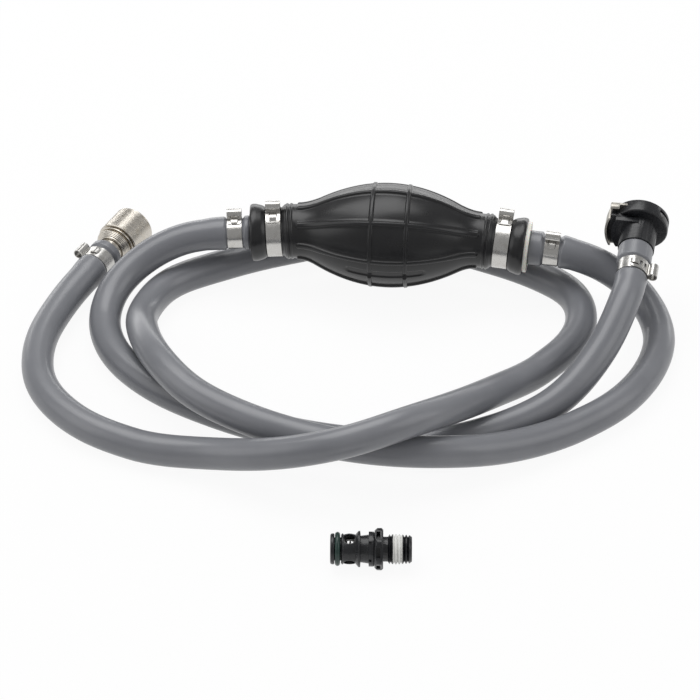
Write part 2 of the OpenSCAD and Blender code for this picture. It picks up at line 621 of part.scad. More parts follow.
// Outline of the button's side: a rectangle whose outer end is bowed to a radius.
button_face = 16.4;
button_bow = 24;
module bowed(r) intersection() {
    translate([-button_w / 2, wide_from]) square([button_w, button_face]);
    translate([0, button_face - button_bow]) circle(r = r);
}
tab_t = 0.9;
housing_z = 9.6;
housing_bow = button_bow - tab_t - latch_travel - 0.3;
module tank_coupler_body() color("#17181a") at_tank() difference() {
    union() {
        barbs();
        cylinder(r = barrel_r, h = collar_z);
        translate([0, 0, housing_z]) linear_extrude(button_z - run - housing_z) {
            bowed(housing_bow);
            translate([-button_w / 2, 0]) square([button_w, wide_from + 1]);
        }
        turned([[0, collar_z], [collar_r - 0.5, collar_z], [collar_r, collar_z + 0.5],
            [collar_r, coupler_front - 1.2], [collar_r - 1.2, coupler_front], [0, coupler_front]]);
    }
    translate([0, 0, -barb_len - 1]) cylinder(r = coupler_passage_r, h = barb_len + 1);
    translate([0, 0, pin_room_z]) cylinder(r = pin_room_r, h = pin_seat_z - pin_room_z);
    cylinder(r = pin_hole_r, h = socket_step_z);
    translate([0, 0, nose_floor_z]) cylinder(r = nose_bore_r, h = coupler_front);
    translate([0, 0, socket_step_z]) cylinder(r = tank_socket_r, h = coupler_front);
    // slot for the latch plate, wider on the button's side
    translate([-slot_half, -collar_d, slot_z]) cube([2 * slot_half, 2 * collar_d, slot_t]);
    translate([-plate_wide - 0.3, wide_from - latch_travel - 0.3, slot_z])
        cube([2 * plate_wide + 0.6, collar_d, slot_t]);
    // pocket round the socket's wall for the button
    translate([0, 0, pocket_z]) difference() {
        translate([-slot_half, 2.4, 0]) cube([2 * slot_half, collar_d, slot_z - pocket_z + eps]);
        cylinder(r = pocket_r, h = collar_len * 2, center = true);
    }
    translate([-slot_half, pocket_r, slot_z]) cube([2 * slot_half, collar_d, pocket_end_z - slot_z]);
}
// The latch plate ends in a bowed thumb tab that is bent back over the button and over the
// housing, a fixed block behind the button.
latch_z = slot_z + run;
tab_z = housing_z + 0.4;
// how far the plate lies inside the collar on the side away from the button
plate_back = 2.2;
module latch_plate() color("silver") at_tank() {
    translate([0, 0, latch_z]) linear_extrude(latch_t) difference() {
        union() {
            intersection() {
                translate([-slot_half + 0.3, -collar_r]) square([2 * (slot_half - 0.3), 2 * collar_r]);
                circle(r = collar_r - plate_back);
            }
            translate([-plate_wide, wide_from]) square([2 * plate_wide, 14 - wide_from]);
            bowed(button_bow);
        }
        translate([0, latch_travel]) circle(r = tank_socket_r + 0.02);
    }
    translate([0, 0, tab_z]) linear_extrude(latch_z + eps - tab_z) difference() {
        bowed(button_bow);
        bowed(button_bow - tab_t);
    }
}
// The button fills the tab and is hollowed to clear the socket's wall; behind the collar it
// reaches further in, round the barrel.
spring_pocket_r = 1.9;
latch_spring_z = (button_z + latch_z) / 2;
module button_block(inner_r) difference() {
    bowed(button_bow - tab_t - 0.02);
    translate([0, latch_travel]) circle(r = inner_r);
}
module latch_button() color("#141518") at_tank() difference() {
    translate([0, 0, button_z]) {
        linear_extrude(latch_z - 0.02 - button_z) button_block(pocket_r + 0.2);
        linear_extrude(pocket_z - 0.1 - button_z) button_block(barrel_r + 0.2);
    }
    translate([0, 0, latch_spring_z]) rotate([-90, 0, 0]) cylinder(r = spring_pocket_r, h = 14.6);
}
module latch_spring() color("silver") at_tank() translate([0, pocket_r + meet, latch_spring_z])
    rotate([-90, 0, 0]) coil(1.4, 14.6 - pocket_r - 2 * meet, 4, 0.4);
module tank_valve_pin() color("#b08d3c") at_tank() {
    tail_z = pin_room_z + pin_travel + meet;
    translate([0, 0, tail_z]) valve_tail(2.2, pin_head_z - tail_z + eps);
    translate([0, 0, pin_head_z]) cylinder(r = pin_room_r - 0.2, h = 1.7);
    translate([0, 0, pin_seat_z - 0.2]) cylinder(r = 1.2, h = 4);
}
module tank_valve_spring() color("silver") at_tank() translate([0, 0, pin_room_z + meet])
    coil(pin_spring_r, pin_head_z - pin_room_z - 2 * meet, 4, 0.5);
module tank_socket_seal() color("#202020") at_tank() translate([0, 0, nose_floor_z])
    ring(nose_bore_r - run, 4, 0.9);

/* ---- tank fitting, in local Z from its seal-ring end ---- */

nose_r = 7.1;
seal_wire_r = 1.2;
seal_mid_r = seal_d / 2 - seal_wire_r;
seal_groove_r = seal_mid_r - seal_wire_r - meet;
seal_z = 3.35;
groove_start = 1.9;
groove_end = 5;
cage_start = 6.2;
cage_end = 11.5;
cage_r = 6.6;
cage_bow = 0.5;
window_count = 3;
window_w = 6;
window_len = 5;
window_turn = 183;
fitting_bore_r = 4.2;
fitting_mouth_r = 3;
fitting_throat_r = 2.5;
fitting_outlet_r = 3.2;
fitting_seat_z = 14;
fitting_head_z = 2.8;
fitting_spring_r = 3.55;
snap_r_outer = snap_d / 2;
snap_end = 13.7;
lug_z = 17.6;
lug_r = 8;
hex_z = 20.2;
hex_t = 4;
pocket_w = 1.8;
pocket_len = 4.6;
pocket_depth = 2;
stem_r = 5.7;
thread_z = 26.9;
thread_end = 37.3;
thread_turns = 6;
thread_r = thread_d / 2;
thread_depth = 1.05;
taper = 1 / 32;
// The sealant covers this many threads after the first one
sealant_turns = 3;
sealant_t = 0.16;

// Crests and roots of threads first to last, tapering by 1 in 16 on the diameter.
function thread_points(grow, first, last) = [for (k = [first:last], c = [0, 1, 2])
    let (z = thread_z + (k + [0.12, 0.5, 0.88][c]) * thread_pitch)
    [thread_r - (z - thread_z) * taper - (c == 1 ? thread_depth : 0) + grow, z]];

// The cage bows outwards between its two ends.
cage_points = [for (i = [0:6]) let (t = i / 6)
    [cage_r + cage_bow * sin(180 * t), cage_start + (cage_end - cage_start) * t]];

module hexagon() rotate([0, 0, 30]) intersection() {
    cylinder(r = hex_af / sqrt(3), h = hex_t, $fn = 6);
    turned([[0, 0], [hex_af / 2 - 0.2, 0], [hex_af / 2 + 1, 1.2], [hex_af / 2 + 1.1, hex_t - 0.8],
        [hex_af / 2 + 0.2, hex_t], [0, hex_t]]);
}
module tank_fitting_body() color("#16181a") at_fitting() difference() {
    union() {
        turned(concat([[0, 0], [nose_r - 0.8, 0], [nose_r - 0.2, 0.3], [nose_r, 0.9], [nose_r, 1.5],
            [nose_r - 0.2, groove_start], [seal_groove_r, groove_start], [seal_groove_r, groove_end],
            [nose_r - 0.6, groove_end], [nose_r, groove_end + 0.4], [nose_r, groove_end + 0.7]],
            cage_points,
            [[snap_r_outer - 0.2, snap_end - 1], [snap_r_outer, snap_end - 0.8], [snap_r_outer, snap_end],
            [6.1, snap_end + 0.2], [6.6, lug_z - 0.1], [lug_r, lug_z], [lug_r, hex_z - 0.4],
            [lug_r - 0.5, hex_z], [lug_r - 0.5, hex_z + hex_t - eps], [stem_r, hex_z + hex_t - eps],
            [stem_r, thread_z - 0.6]],
            thread_points(0, 0, thread_turns - 1),
            [[thread_r - 1.2, thread_end], [0, thread_end]]));
        translate([0, 0, hex_z]) hexagon();
    }
    translate([0, 0, -1]) cylinder(r = fitting_mouth_r, h = 3);
    translate([0, 0, 1]) cylinder(r = fitting_bore_r, h = fitting_seat_z - 1);
    translate([0, 0, fitting_seat_z - 1]) cylinder(r = fitting_throat_r, h = thread_end);
    translate([0, 0, fitting_seat_z + 2]) cylinder(r = fitting_outlet_r, h = thread_end);
    // round-ended fuel windows through the cage, the first one on top
    for (k = [0:window_count - 1]) rotate([0, 0, window_turn + 360 * k / window_count])
        translate([0, 0, (cage_start + cage_end) / 2]) rotate([0, 90, 0]) {
            for (y = [-1, 1]) translate([0, y * (window_w - window_len) / 2, 0])
                cylinder(d = window_len, h = snap_d);
            translate([-window_len / 2, -(window_w - window_len) / 2, 0])
                cube([window_len, window_w - window_len, snap_d]);
        }
    for (k = [0:5]) rotate([0, 0, 60 * k]) {
        // notches round the lug collar, and pockets in the flats of the hexagon
        rotate([0, 0, 30]) translate([lug_r - 0.9, -0.8, lug_z - 0.2]) cube([2, 1.6, 1.5]);
        translate([hex_af / 2 - pocket_depth, -pocket_len / 2, hex_z + 0.9])
            cube([pocket_depth + 1, pocket_len, pocket_w]);
    }
}
module fitting_seal_ring() color("#1e4034") at_fitting() translate([0, 0, seal_z])
    rotate_extrude() translate([seal_mid_r, 0]) circle(r = seal_wire_r, $fn = 48);
module fitting_thread_sealant() color("white") at_fitting() {
    inner = thread_points(eps, 1, sealant_turns);
    outer = thread_points(sealant_t, 1, sealant_turns);
    turned(concat(inner, [for (i = [len(outer) - 1:-1:0]) outer[i]]));
}
module fitting_poppet() color("#d8d4c6") at_fitting() {
    translate([0, 0, 1 + meet]) cylinder(r = fitting_bore_r - 0.2, h = 1.8);
    translate([0, 0, 0.2]) cylinder(r = fitting_mouth_r - 0.4, h = 1.2);
    translate([0, 0, fitting_head_z])
        valve_tail(2.95, fitting_seat_z - fitting_valve_travel - meet - fitting_head_z);
}
module fitting_spring() color("silver") at_fitting() translate([0, 0, fitting_head_z + 2 * meet])
    coil(fitting_spring_r, fitting_seat_z - fitting_head_z - 3 * meet, 6, 0.7);

bulb();
inlet_valve_body();
inlet_valve_disc();
inlet_valve_spring();
inlet_valve_cage();
outlet_valve_body();
outlet_valve_disc();
outlet_valve_spring();
outlet_valve_seat();
bulb_clamp_inlet();
bulb_clamp_outlet();
hose_clamp_inlet();
hose_clamp_outlet();
hose_clamp_tank();
hose_clamp_engine();
tank_hose();
engine_hose();
engine_coupling_body();
engine_sleeve();
engine_sleeve_spring();
engine_lock_balls();
engine_snap_ring();
engine_valve_poppet();
engine_valve_spring();
engine_socket_seal();
tank_coupler_body();
latch_plate();
latch_button();
latch_spring();
tank_valve_pin();
tank_valve_spring();
tank_socket_seal();
tank_fitting_body();
fitting_seal_ring();
fitting_thread_sealant();
fitting_poppet();
fitting_spring();
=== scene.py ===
"""Looks of the siphon bulb pump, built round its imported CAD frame.

Lengths in metres are the frame's. Shapes are worked out in millimetres in the local axes of
the piece they belong to, where +Z runs along the piece away from the bulb or its hose, +X
points down and +Y lies to the left of +Z. A Place, or the bulb's own bend, then carries them
into the frame.
"""
import json
from contextlib import contextmanager
from math import cos, pi, radians, sin

import bmesh
import bpy
import numpy as np
from mathutils import Matrix


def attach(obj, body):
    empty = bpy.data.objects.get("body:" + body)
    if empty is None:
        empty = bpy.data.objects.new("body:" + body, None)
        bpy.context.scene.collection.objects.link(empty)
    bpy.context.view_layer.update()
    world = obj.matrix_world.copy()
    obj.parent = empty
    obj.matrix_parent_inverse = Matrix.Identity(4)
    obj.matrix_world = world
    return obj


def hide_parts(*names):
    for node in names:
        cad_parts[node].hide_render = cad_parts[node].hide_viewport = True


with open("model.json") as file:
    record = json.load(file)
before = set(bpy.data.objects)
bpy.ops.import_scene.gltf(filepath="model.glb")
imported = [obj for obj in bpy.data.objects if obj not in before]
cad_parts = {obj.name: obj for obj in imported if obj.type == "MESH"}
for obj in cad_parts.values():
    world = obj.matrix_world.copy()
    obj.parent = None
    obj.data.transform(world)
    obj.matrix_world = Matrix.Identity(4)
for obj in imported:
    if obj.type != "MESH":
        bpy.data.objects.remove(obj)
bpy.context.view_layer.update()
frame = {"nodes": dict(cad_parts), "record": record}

MM = 0.001

# ---- camera ----

SENSOR = 36.0
LENS = 300.0
CAMERA_DISTANCE = 2.8
CAMERA_UP = radians(40.0)
CAMERA_ROUND = radians(4.7)
FRAME_PIXELS = 700
# a point inside the bulb, and where it falls in the frame, in pixels from the frame's centre
AIM = np.array([0.0, 0.0, 0.0296])
AIM_IN_FRAME = (38.5, 113.0)


def turned_to(right, up, back, spot):
    """Matrix of an object at a spot, with its X to the right, its Y up and its Z back."""
    return Matrix([[right[i], up[i], back[i], spot[i]] for i in range(3)] + [[0, 0, 0, 1]])


def make_camera():
    """Camera that looks down by CAMERA_UP, moved sideways so that the bulb falls in its place."""
    right = np.array([cos(CAMERA_ROUND), sin(CAMERA_ROUND), 0.0])
    back = np.array([sin(CAMERA_ROUND) * cos(CAMERA_UP), -cos(CAMERA_ROUND) * cos(CAMERA_UP),
                     sin(CAMERA_UP)])
    up = np.cross(back, right)
    focal_pixels = FRAME_PIXELS * LENS / SENSOR
    aside, above = (p / focal_pixels * CAMERA_DISTANCE for p in AIM_IN_FRAME)
    spot = AIM - aside * right - above * up + CAMERA_DISTANCE * back
    camera = bpy.data.objects.new("camera", bpy.data.cameras.new("camera"))
    camera.data.lens = LENS
    camera.data.sensor_width = SENSOR
    camera.matrix_world = turned_to(right, up, back, spot)
    bpy.context.scene.collection.objects.link(camera)
    bpy.context.scene.camera = camera


# ---- finishes ----

SUBSURFACE_DEPTH = 2 * MM
# noise values between which a polish runs from its low to its high roughness
POLISH_LOW, POLISH_HIGH = 0.3, 0.7


class Finish:
    """A Principled material: constants sit on the shader's own sockets, patterns are linked to it."""

    def __init__(self, name, colour, roughness, metallic=0.0, specular=0.5, subsurface=0.0):
        self.material = bpy.data.materials.new(name)
        self.material.use_nodes = True
        self.material.diffuse_color = (*colour, 1.0)
        self.tree = self.material.node_tree
        self.shader = self.tree.nodes["Principled BSDF"]
        self.colour = colour
        self.normal = None
        constants = {"Base Color": (*colour, 1.0), "Roughness": roughness, "Metallic": metallic,
                     "Specular IOR Level": specular, "Subsurface Weight": subsurface,
                     "Subsurface Scale": SUBSURFACE_DEPTH}
        for socket, value in constants.items():
            self.shader.inputs[socket].default_value = value

    def add(self, kind, inputs=(), **settings):
        """A node of that kind with its settings; inputs gives each input a value or a source socket."""
        node = self.tree.nodes.new(kind)
        for key, value in settings.items():
            setattr(node, key, value)
        for key, value in dict(inputs).items():
            if isinstance(value, bpy.types.NodeSocket):
                self.tree.links.new(value, node.inputs[key])
            else:
                node.inputs[key].default_value = value
        return node

    def spread(self, pattern, low, high, start=0.0, end=1.0):
        """The pattern's values from low to high, spread from start to end."""
        ramp = self.add("ShaderNodeMapRange", {"Value": pattern, "From Min": low, "From Max": high,
                                               "To Min": start, "To Max": end})
        return ramp.outputs[0]

    def grain(self, size, stretch=(1, 1, 1), detail=3.0, along_surface=False):
        """Noise from 0 to 1 with grains of that size in millimetres, drawn out by stretch.

        It lies on the piece's own place in the frame, or on its UV map.
        """
        spots = self.add("ShaderNodeTexCoord").outputs["UV" if along_surface else "Object"]
        scale = tuple(1 / (size * MM * s) for s in stretch)
        mapped = self.add("ShaderNodeMapping", {"Vector": spots, "Scale": scale}).outputs[0]
        noise = self.add("ShaderNodeTexNoise", {"Vector": mapped, "Scale": 1.0, "Detail": detail})
        return noise.outputs["Fac"]

    def shade(self, pattern, colour, low=0.35, high=0.65):
        """Runs the base colour over to another one as the pattern goes from low to high."""
        share = self.spread(pattern, low, high)
        mix = self.add("ShaderNodeMix", {0: share, 6: (*self.colour, 1.0), 7: (*colour, 1.0)},
                       data_type="RGBA")
        self.tree.links.new(mix.outputs[2], self.shader.inputs["Base Color"])
        return self

    def polish(self, pattern, low, high):
        """Roughness from low to high with the pattern."""
        roughness = self.spread(pattern, POLISH_LOW, POLISH_HIGH, low, high)
        self.tree.links.new(roughness, self.shader.inputs["Roughness"])
        return self

    def relief(self, pattern, depth, strength):
        """Bumps of that depth in millimetres, on top of any relief made before."""
        inputs = {"Height": pattern, "Strength": strength, "Distance": depth * MM}
        if self.normal is not None:
            inputs["Normal"] = self.normal
        self.normal = self.add("ShaderNodeBump", inputs).outputs[0]
        self.tree.links.new(self.normal, self.shader.inputs["Normal"])
        return self


def moulded_rubber():
    """Black rubber with a fine mould texture and a faint greyish bloom."""
    rubber = Finish("moulded_rubber", (0.006, 0.006, 0.007), 0.30)
    rubber.shade(rubber.grain(14, detail=5), (0.011, 0.011, 0.012), 0.45, 0.75)
    rubber.polish(rubber.grain(9), 0.27, 0.34)
    return rubber.relief(rubber.grain(0.6, detail=1), 0.006, 0.35).material


def hose_rubber():
    """Blue-grey extruded hose: a satin skin with faint draw lines along it and a little mottling."""
    rubber = Finish("hose_rubber", (0.168, 0.173, 0.189), 0.30, specular=0.6)
    rubber.shade(rubber.grain(25, detail=4), (0.195, 0.200, 0.216), 0.4, 0.7)
    rubber.polish(rubber.grain(1.2, (1, 40, 1), along_surface=True), 0.28, 0.33)
    rubber.relief(rubber.grain(0.8, (1, 60, 1), along_surface=True), 0.012, 0.4)
    return rubber.relief(rubber.grain(0.6, detail=2), 0.012, 0.5).material


def white_nylon():
    """Natural nylon, a little translucent, with faint flow clouds."""
    nylon = Finish("white_nylon", (0.78, 0.76, 0.70), 0.38, subsurface=0.15)
    nylon.shade(nylon.grain(6, detail=4), (0.70, 0.67, 0.60), 0.45, 0.75)
    return nylon.relief(nylon.grain(0.5, detail=2), 0.01, 0.5).material


def valve_rubber():
    """Brick-red fuel-proof rubber."""
    rubber = Finish("valve_rubber", (0.36, 0.075, 0.04), 0.5)
    rubber.shade(rubber.grain(2, detail=4), (0.28, 0.05, 0.03))
    return rubber.relief(rubber.grain(0.3, detail=2), 0.01, 0.5).material


def spring_wire():
    """Drawn stainless wire."""
    wire = Finish("spring_wire", (0.56, 0.55, 0.53), 0.28, metallic=1.0)
    wire.polish(wire.grain(0.8, detail=4), 0.20, 0.36)
    return wire.relief(wire.grain(0.15, detail=2), 0.004, 0.5).material


def clamp_steel():
    """Bright stainless strip with darker clouds and a few dull spots."""
    steel = Finish("clamp_steel", (0.56, 0.55, 0.53), 0.22, metallic=1.0)
    steel.shade(steel.grain(4, detail=5), (0.44, 0.42, 0.39), 0.5, 0.8)
    return steel.polish(steel.grain(2.5, detail=4), 0.20, 0.32).material


def shaded_latch_steel():
    """The same strip as the clamps, rougher from handling, and with painted shade: a darker, warmer base
    colour that stands for the dimmer reflections it shows.
    """
    # painted shade: this base colour is darker and warmer than the clamps' steel, standing for dimmer
    # reflections
    steel = Finish("shaded_latch_steel", (0.40, 0.385, 0.35), 0.36, metallic=1.0)
    steel.shade(steel.grain(4, detail=5), (0.33, 0.31, 0.28), 0.5, 0.8)
    return steel.polish(steel.grain(2.5, detail=4), 0.32, 0.44).material


def nickel_plate():
    """Nickel plate with a warm cast and handling dullness."""
    nickel = Finish("nickel_plate", (0.58, 0.545, 0.49), 0.22, metallic=1.0)
    nickel.shade(nickel.grain(3, detail=5), (0.50, 0.45, 0.37), 0.5, 0.8)
    return nickel.polish(nickel.grain(1.2, detail=5), 0.20, 0.34).material


def bearing_steel():
    """Polished steel."""
    steel = Finish("bearing_steel", (0.70, 0.70, 0.70), 0.12, metallic=1.0)
    return steel.polish(steel.grain(0.8, detail=4), 0.08, 0.2).material


def turned_brass():
    """Turned brass with a slight tarnish."""
    brass = Finish("turned_brass", (0.62, 0.43, 0.17), 0.25, metallic=1.0)
    brass.shade(brass.grain(2, detail=5), (0.42, 0.27, 0.09), 0.5, 0.8)
    return brass.polish(brass.grain(0.7, detail=4), 0.18, 0.36).material


def seal_rubber():
    """Black seal rubber, lightly oiled."""
    rubber = Finish("seal_rubber", (0.014, 0.014, 0.015), 0.3)
    return rubber.polish(rubber.grain(1.5, detail=4), 0.22, 0.4).material


def black_nylon():
    """Satin black moulded nylon with glass fibres that just show in its skin."""
    nylon = Finish("black_nylon", (0.008, 0.0085, 0.0105), 0.30)
    nylon.shade(nylon.grain(3, detail=5), (0.013, 0.014, 0.0165), 0.5, 0.8)
    nylon.polish(nylon.grain(1.0, detail=5), 0.24, 0.38)
    return nylon.relief(nylon.grain(0.22), 0.012, 0.5).material


def green_seal():
    """Dark green fuel-proof seal rubber."""
    rubber = Finish("green_seal", (0.007, 0.026, 0.021), 0.32)
    rubber.shade(rubber.grain(1.5, detail=4), (0.011, 0.038, 0.030))
    return rubber.polish(rubber.grain(1.0, detail=4), 0.26, 0.42).material


def thread_sealant():
    """Baked-on white sealant: chalky and grainy."""
    paste = Finish("thread_sealant", (0.80, 0.80, 0.78), 0.7)
    paste.shade(paste.grain(0.8, detail=5), (0.62, 0.62, 0.60), 0.5, 0.8)
    return paste.relief(paste.grain(0.2, detail=4), 0.04, 0.8).material


def acetal():
    """Natural acetal."""
    plastic = Finish("acetal", (0.68, 0.66, 0.58), 0.3, subsurface=0.1)
    return plastic.polish(plastic.grain(0.8, detail=4), 0.24, 0.4).material


# the record's material slots, and the latch's own steel, whose colour holds painted shade
FINISHES = {
    "black_rubber": moulded_rubber(), "grey_hose": hose_rubber(), "white_nylon": white_nylon(),
    "valve_rubber": valve_rubber(), "spring_steel": spring_wire(), "clamp_steel": clamp_steel(),
    "shaded_latch_steel": shaded_latch_steel(), "nickel": nickel_plate(), "bearing_steel": bearing_steel(),
    "brass": turned_brass(), "seal_rubber": seal_rubber(), "black_nylon": black_nylon(),
    "green_seal": green_seal(), "white_sealant": thread_sealant(), "acetal": acetal()}

# ---- meshes ----

WELD, CAD_WELD = 0.002 * MM, 0.001 * MM
FLAT_ANGLE, SHARP_ANGLE = radians(1), radians(38)
BEVEL_STEPS, BEND_STEPS = 2, 5


@contextmanager
def editing(mesh):
    """Editable copy of a mesh, which is written back to it at the end."""
    work = bmesh.new()
    work.from_mesh(mesh)
    yield work
    work.to_mesh(mesh)
    work.free()


def finished(name, mesh, material, body, bevel=0.0):
    """Smooth-shaded piece of one material that rides on a body.

    A bevel rounds its sharp edges over that width in millimetres.
    """
    mesh.polygons.foreach_set("use_smooth", np.ones(len(mesh.polygons), dtype=bool))
    mesh.materials.clear()
    mesh.materials.append(material)
    piece = bpy.data.objects.new(name, mesh)
    bpy.context.scene.collection.objects.link(piece)
    if bevel:
        soft_edges = piece.modifiers.new("soft_edges", "BEVEL")
        soft_edges.width = bevel * MM
        soft_edges.segments = BEVEL_STEPS
        soft_edges.limit_method = "ANGLE"
        soft_edges.angle_limit = SHARP_ANGLE
        soft_edges.harden_normals = True
    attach(piece, body)
    return piece


def grid_faces(rows, columns, closed_rows=False, closed_columns=False):
    """Quads between neighbouring points of a grid; a closed direction joins its last line to its first."""
    i = np.arange(rows if closed_rows else rows - 1)[:, None]
    j = np.arange(columns if closed_columns else columns - 1)[None, :]
    next_i, next_j = (i + 1) % rows, (j + 1) % columns
    corners = (i * columns + j, i * columns + next_j, next_i * columns + next_j, next_i * columns + j)
    return np.stack(corners, axis=-1).reshape(-1, 4)


def make_piece(name, points, material, body, closed_rows=False, closed_columns=False, uv=None):
    """Piece whose mesh is a grid of points in metres, rows x columns x 3, with doubled points merged.

    uv is the same grid's map, rows x columns x 2. A closed direction's seam then starts again at
    the next whole turn, so it is given with one row or column more than the points.
    """
    faces = grid_faces(*points.shape[:2], closed_rows, closed_columns)
    mesh = bpy.data.meshes.new(name)
    mesh.from_pydata(points.reshape(-1, 3), [], faces.tolist())
    if uv is not None:
        uv_faces = grid_faces(*uv.shape[:2])
        layer = mesh.uv_layers.new(name="along")
        layer.data.foreach_set("uv", uv.reshape(-1, 2)[uv_faces].astype(np.float32).ravel())
    with editing(mesh) as work:
        bmesh.ops.remove_doubles(work, verts=work.verts, dist=WELD)
        bmesh.ops.recalc_face_normals(work, faces=work.faces)
    return finished(name, mesh, material, body)


def make_sheet(name, outer, inner, solid, material, body, bevel):
    """Piece of sheet metal with holes, from an outer and an inner grid of points in metres.

    Only the solid cells of the grids are there, and a wall joins the grids wherever a solid cell
    ends.
    """
    index = np.arange(outer[..., 0].size).reshape(outer.shape[:2])
    under = index.size
    upper = np.stack([index[:-1, :-1], index[:-1, 1:], index[1:, 1:], index[1:, :-1]], axis=-1)[solid]
    lower = upper[:, [0, 3, 2, 1]] + under

    def walls(a, b, ends):
        return np.stack([a, b, b + under, a + under], axis=-1)[ends]

    padded = np.pad(solid, 1)
    ends_beside = padded[1:-1, :-1] != padded[1:-1, 1:]
    ends_ahead = padded[:-1, 1:-1] != padded[1:, 1:-1]
    faces = np.concatenate([upper, lower, walls(index[:-1], index[1:], ends_beside),
                            walls(index[:, :-1], index[:, 1:], ends_ahead)])
    mesh = bpy.data.meshes.new(name)
    mesh.from_pydata(np.concatenate([outer.reshape(-1, 3), inner.reshape(-1, 3)]), [], faces.tolist())
    with editing(mesh) as work:
        loose = [v for v in work.verts if not v.link_faces]
        bmesh.ops.delete(work, geom=loose, context="VERTS")
        bmesh.ops.recalc_face_normals(work, faces=work.faces)
    return finished(name, mesh, material, body, bevel)


def make_softened(node, material, body, bevel, bends=()):
    """Copy of a CAD node with its flat faces made whole again and its edges rounded.

    A bend is a test that picks points in metres, and a radius in millimetres: the edges between
    picked points are rounded by it first.
    """
    source = frame["nodes"][node]
    mesh = source.data.copy()
    mesh.transform(source.matrix_world)
    with editing(mesh) as work:
        bmesh.ops.remove_doubles(work, verts=work.verts, dist=CAD_WELD)
        bmesh.ops.dissolve_limit(work, angle_limit=FLAT_ANGLE, verts=work.verts, edges=work.edges)
        bmesh.ops.recalc_face_normals(work, faces=work.faces)
        for picks, radius in bends:
            edges = [e for e in work.edges if all(picks(np.array(v.co)) for v in e.verts)]
            bmesh.ops.bevel(work, geom=edges, offset=radius * MM, segments=BEND_STEPS, profile=0.5,
                            affect="EDGES")
    piece = finished(node + "_skin", mesh, material, body, bevel)
    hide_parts(node)
    return piece


# ---- curves ----

# most of a side that the cut of one corner may take
MOST_CUT = 0.45
# a hose's bends are evened out over this much of it either way, and not at all near its ends
EASE_HALF = 15.0
EASE_FROM, EASE_TO = 25.0, 45.0
PATH_STEP = 2.0


def smooth_step(t):
    """t held between 0 and 1, with a gentle start and end: t^2 (3 - 2 t)."""
    t = np.clip(t, 0, 1)
    return t * t * (3 - 2 * t)


def cross_axes(along):
    """Unit axes square to a unit direction, or to each of many: down from it and to its left."""
    left = np.cross([0, 0, 1], along)
    left /= np.linalg.norm(left, axis=-1, keepdims=True)
    return np.cross(left, along), left


class Place:
    """Local axes of a piece: an origin in millimetres in the frame, and the direction of +Z."""

    def __init__(self, origin, direction):
        along = np.array(direction, float) / np.linalg.norm(direction)
        self.origin = np.array(origin)
        self.axes = np.stack([*cross_axes(along), along])

    def to_frame(self, local):
        """Local points in millimetres, carried to the frame's metres."""
        return (np.asarray(local) @ self.axes + self.origin) * MM

    def to_local(self, point):
        """A point in the frame's metres, carried back to local millimetres."""
        return self.axes @ (np.asarray(point) / MM - self.origin)


def rounded(corners, cut, steps=5):
    """Polyline with an arc at each inner corner, from a cut before the corner to a cut after it.

    An arc is the parabola (1 - t)^2 start + 2 t (1 - t) corner + t^2 end.
    """
    corners = np.asarray(corners, float)
    before, here, after = corners[:-2], corners[1:-1], corners[2:]
    back, ahead = before - here, after - here
    back_length = np.linalg.norm(back, axis=1, keepdims=True)
    ahead_length = np.linalg.norm(ahead, axis=1, keepdims=True)
    start = here + back / back_length * np.minimum(cut, back_length * MOST_CUT)
    end = here + ahead / ahead_length * np.minimum(cut, ahead_length * MOST_CUT)
    t = np.linspace(0, 1, steps)[None, :, None]
    arcs = (1 - t) ** 2 * start[:, None] + 2 * t * (1 - t) * here[:, None] + t ** 2 * end[:, None]
    return np.vstack([corners[:1], arcs.reshape(-1, 2), corners[-1:]])


def revolved(radius, z, turns):
    """Points (r cos t, r sin t, z) for a radius, a height and a turn in radians.

    Each of the three is given by row, by column or by point.
    """
    return np.stack(np.broadcast_arrays(radius * np.cos(turns), radius * np.sin(turns), z), axis=-1)


def smooth_path(route, steps=12):
    """Centripetal Catmull-Rom curve through the route's points, steps points to a stretch.

    Knots stand the square root of the points' distance apart. The four points nearest to t are
    joined in three rounds of ((tb - t) a + (t - ta) b) / (tb - ta).
    """
    route = np.asarray(route, float)
    ends = np.vstack([2 * route[0] - route[1], route, 2 * route[-1] - route[-2]])
    p0, p1, p2, p3 = ends[:-3], ends[1:-2], ends[2:-1], ends[3:]

    def knot(a, b):
        return np.sqrt(np.linalg.norm(b - a, axis=1))[:, None, None]

    t1 = knot(p0, p1)
    t2 = t1 + knot(p1, p2)
    t3 = t2 + knot(p2, p3)
    t = t1 + (t2 - t1) * np.linspace(0, 1, steps, endpoint=False)[None, :, None]

    def blend(a, b, ta, tb):
        return ((tb - t) * a + (t - ta) * b) / (tb - ta)

    p0, p1, p2, p3 = (p[:, None] for p in (p0, p1, p2, p3))
    a1, a2, a3 = blend(p0, p1, 0, t1), blend(p1, p2, t1, t2), blend(p2, p3, t2, t3)
    b1, b2 = blend(a1, a2, 0, t2), blend(a2, a3, t1, t3)
    return np.vstack([blend(b1, b2, t1, t2).reshape(-1, 3), route[-1:]])


def distances_along(path):
    """Distance along a path to each of its points."""
    return np.concatenate([[0], np.cumsum(np.linalg.norm(np.diff(path, axis=0), axis=1))])


def read_at(at, length_at, vectors):
    """Vectors that are given at some distances, read in straight lines between them at others."""
    return np.stack([np.interp(at, length_at, vectors[:, k]) for k in range(3)], axis=1)


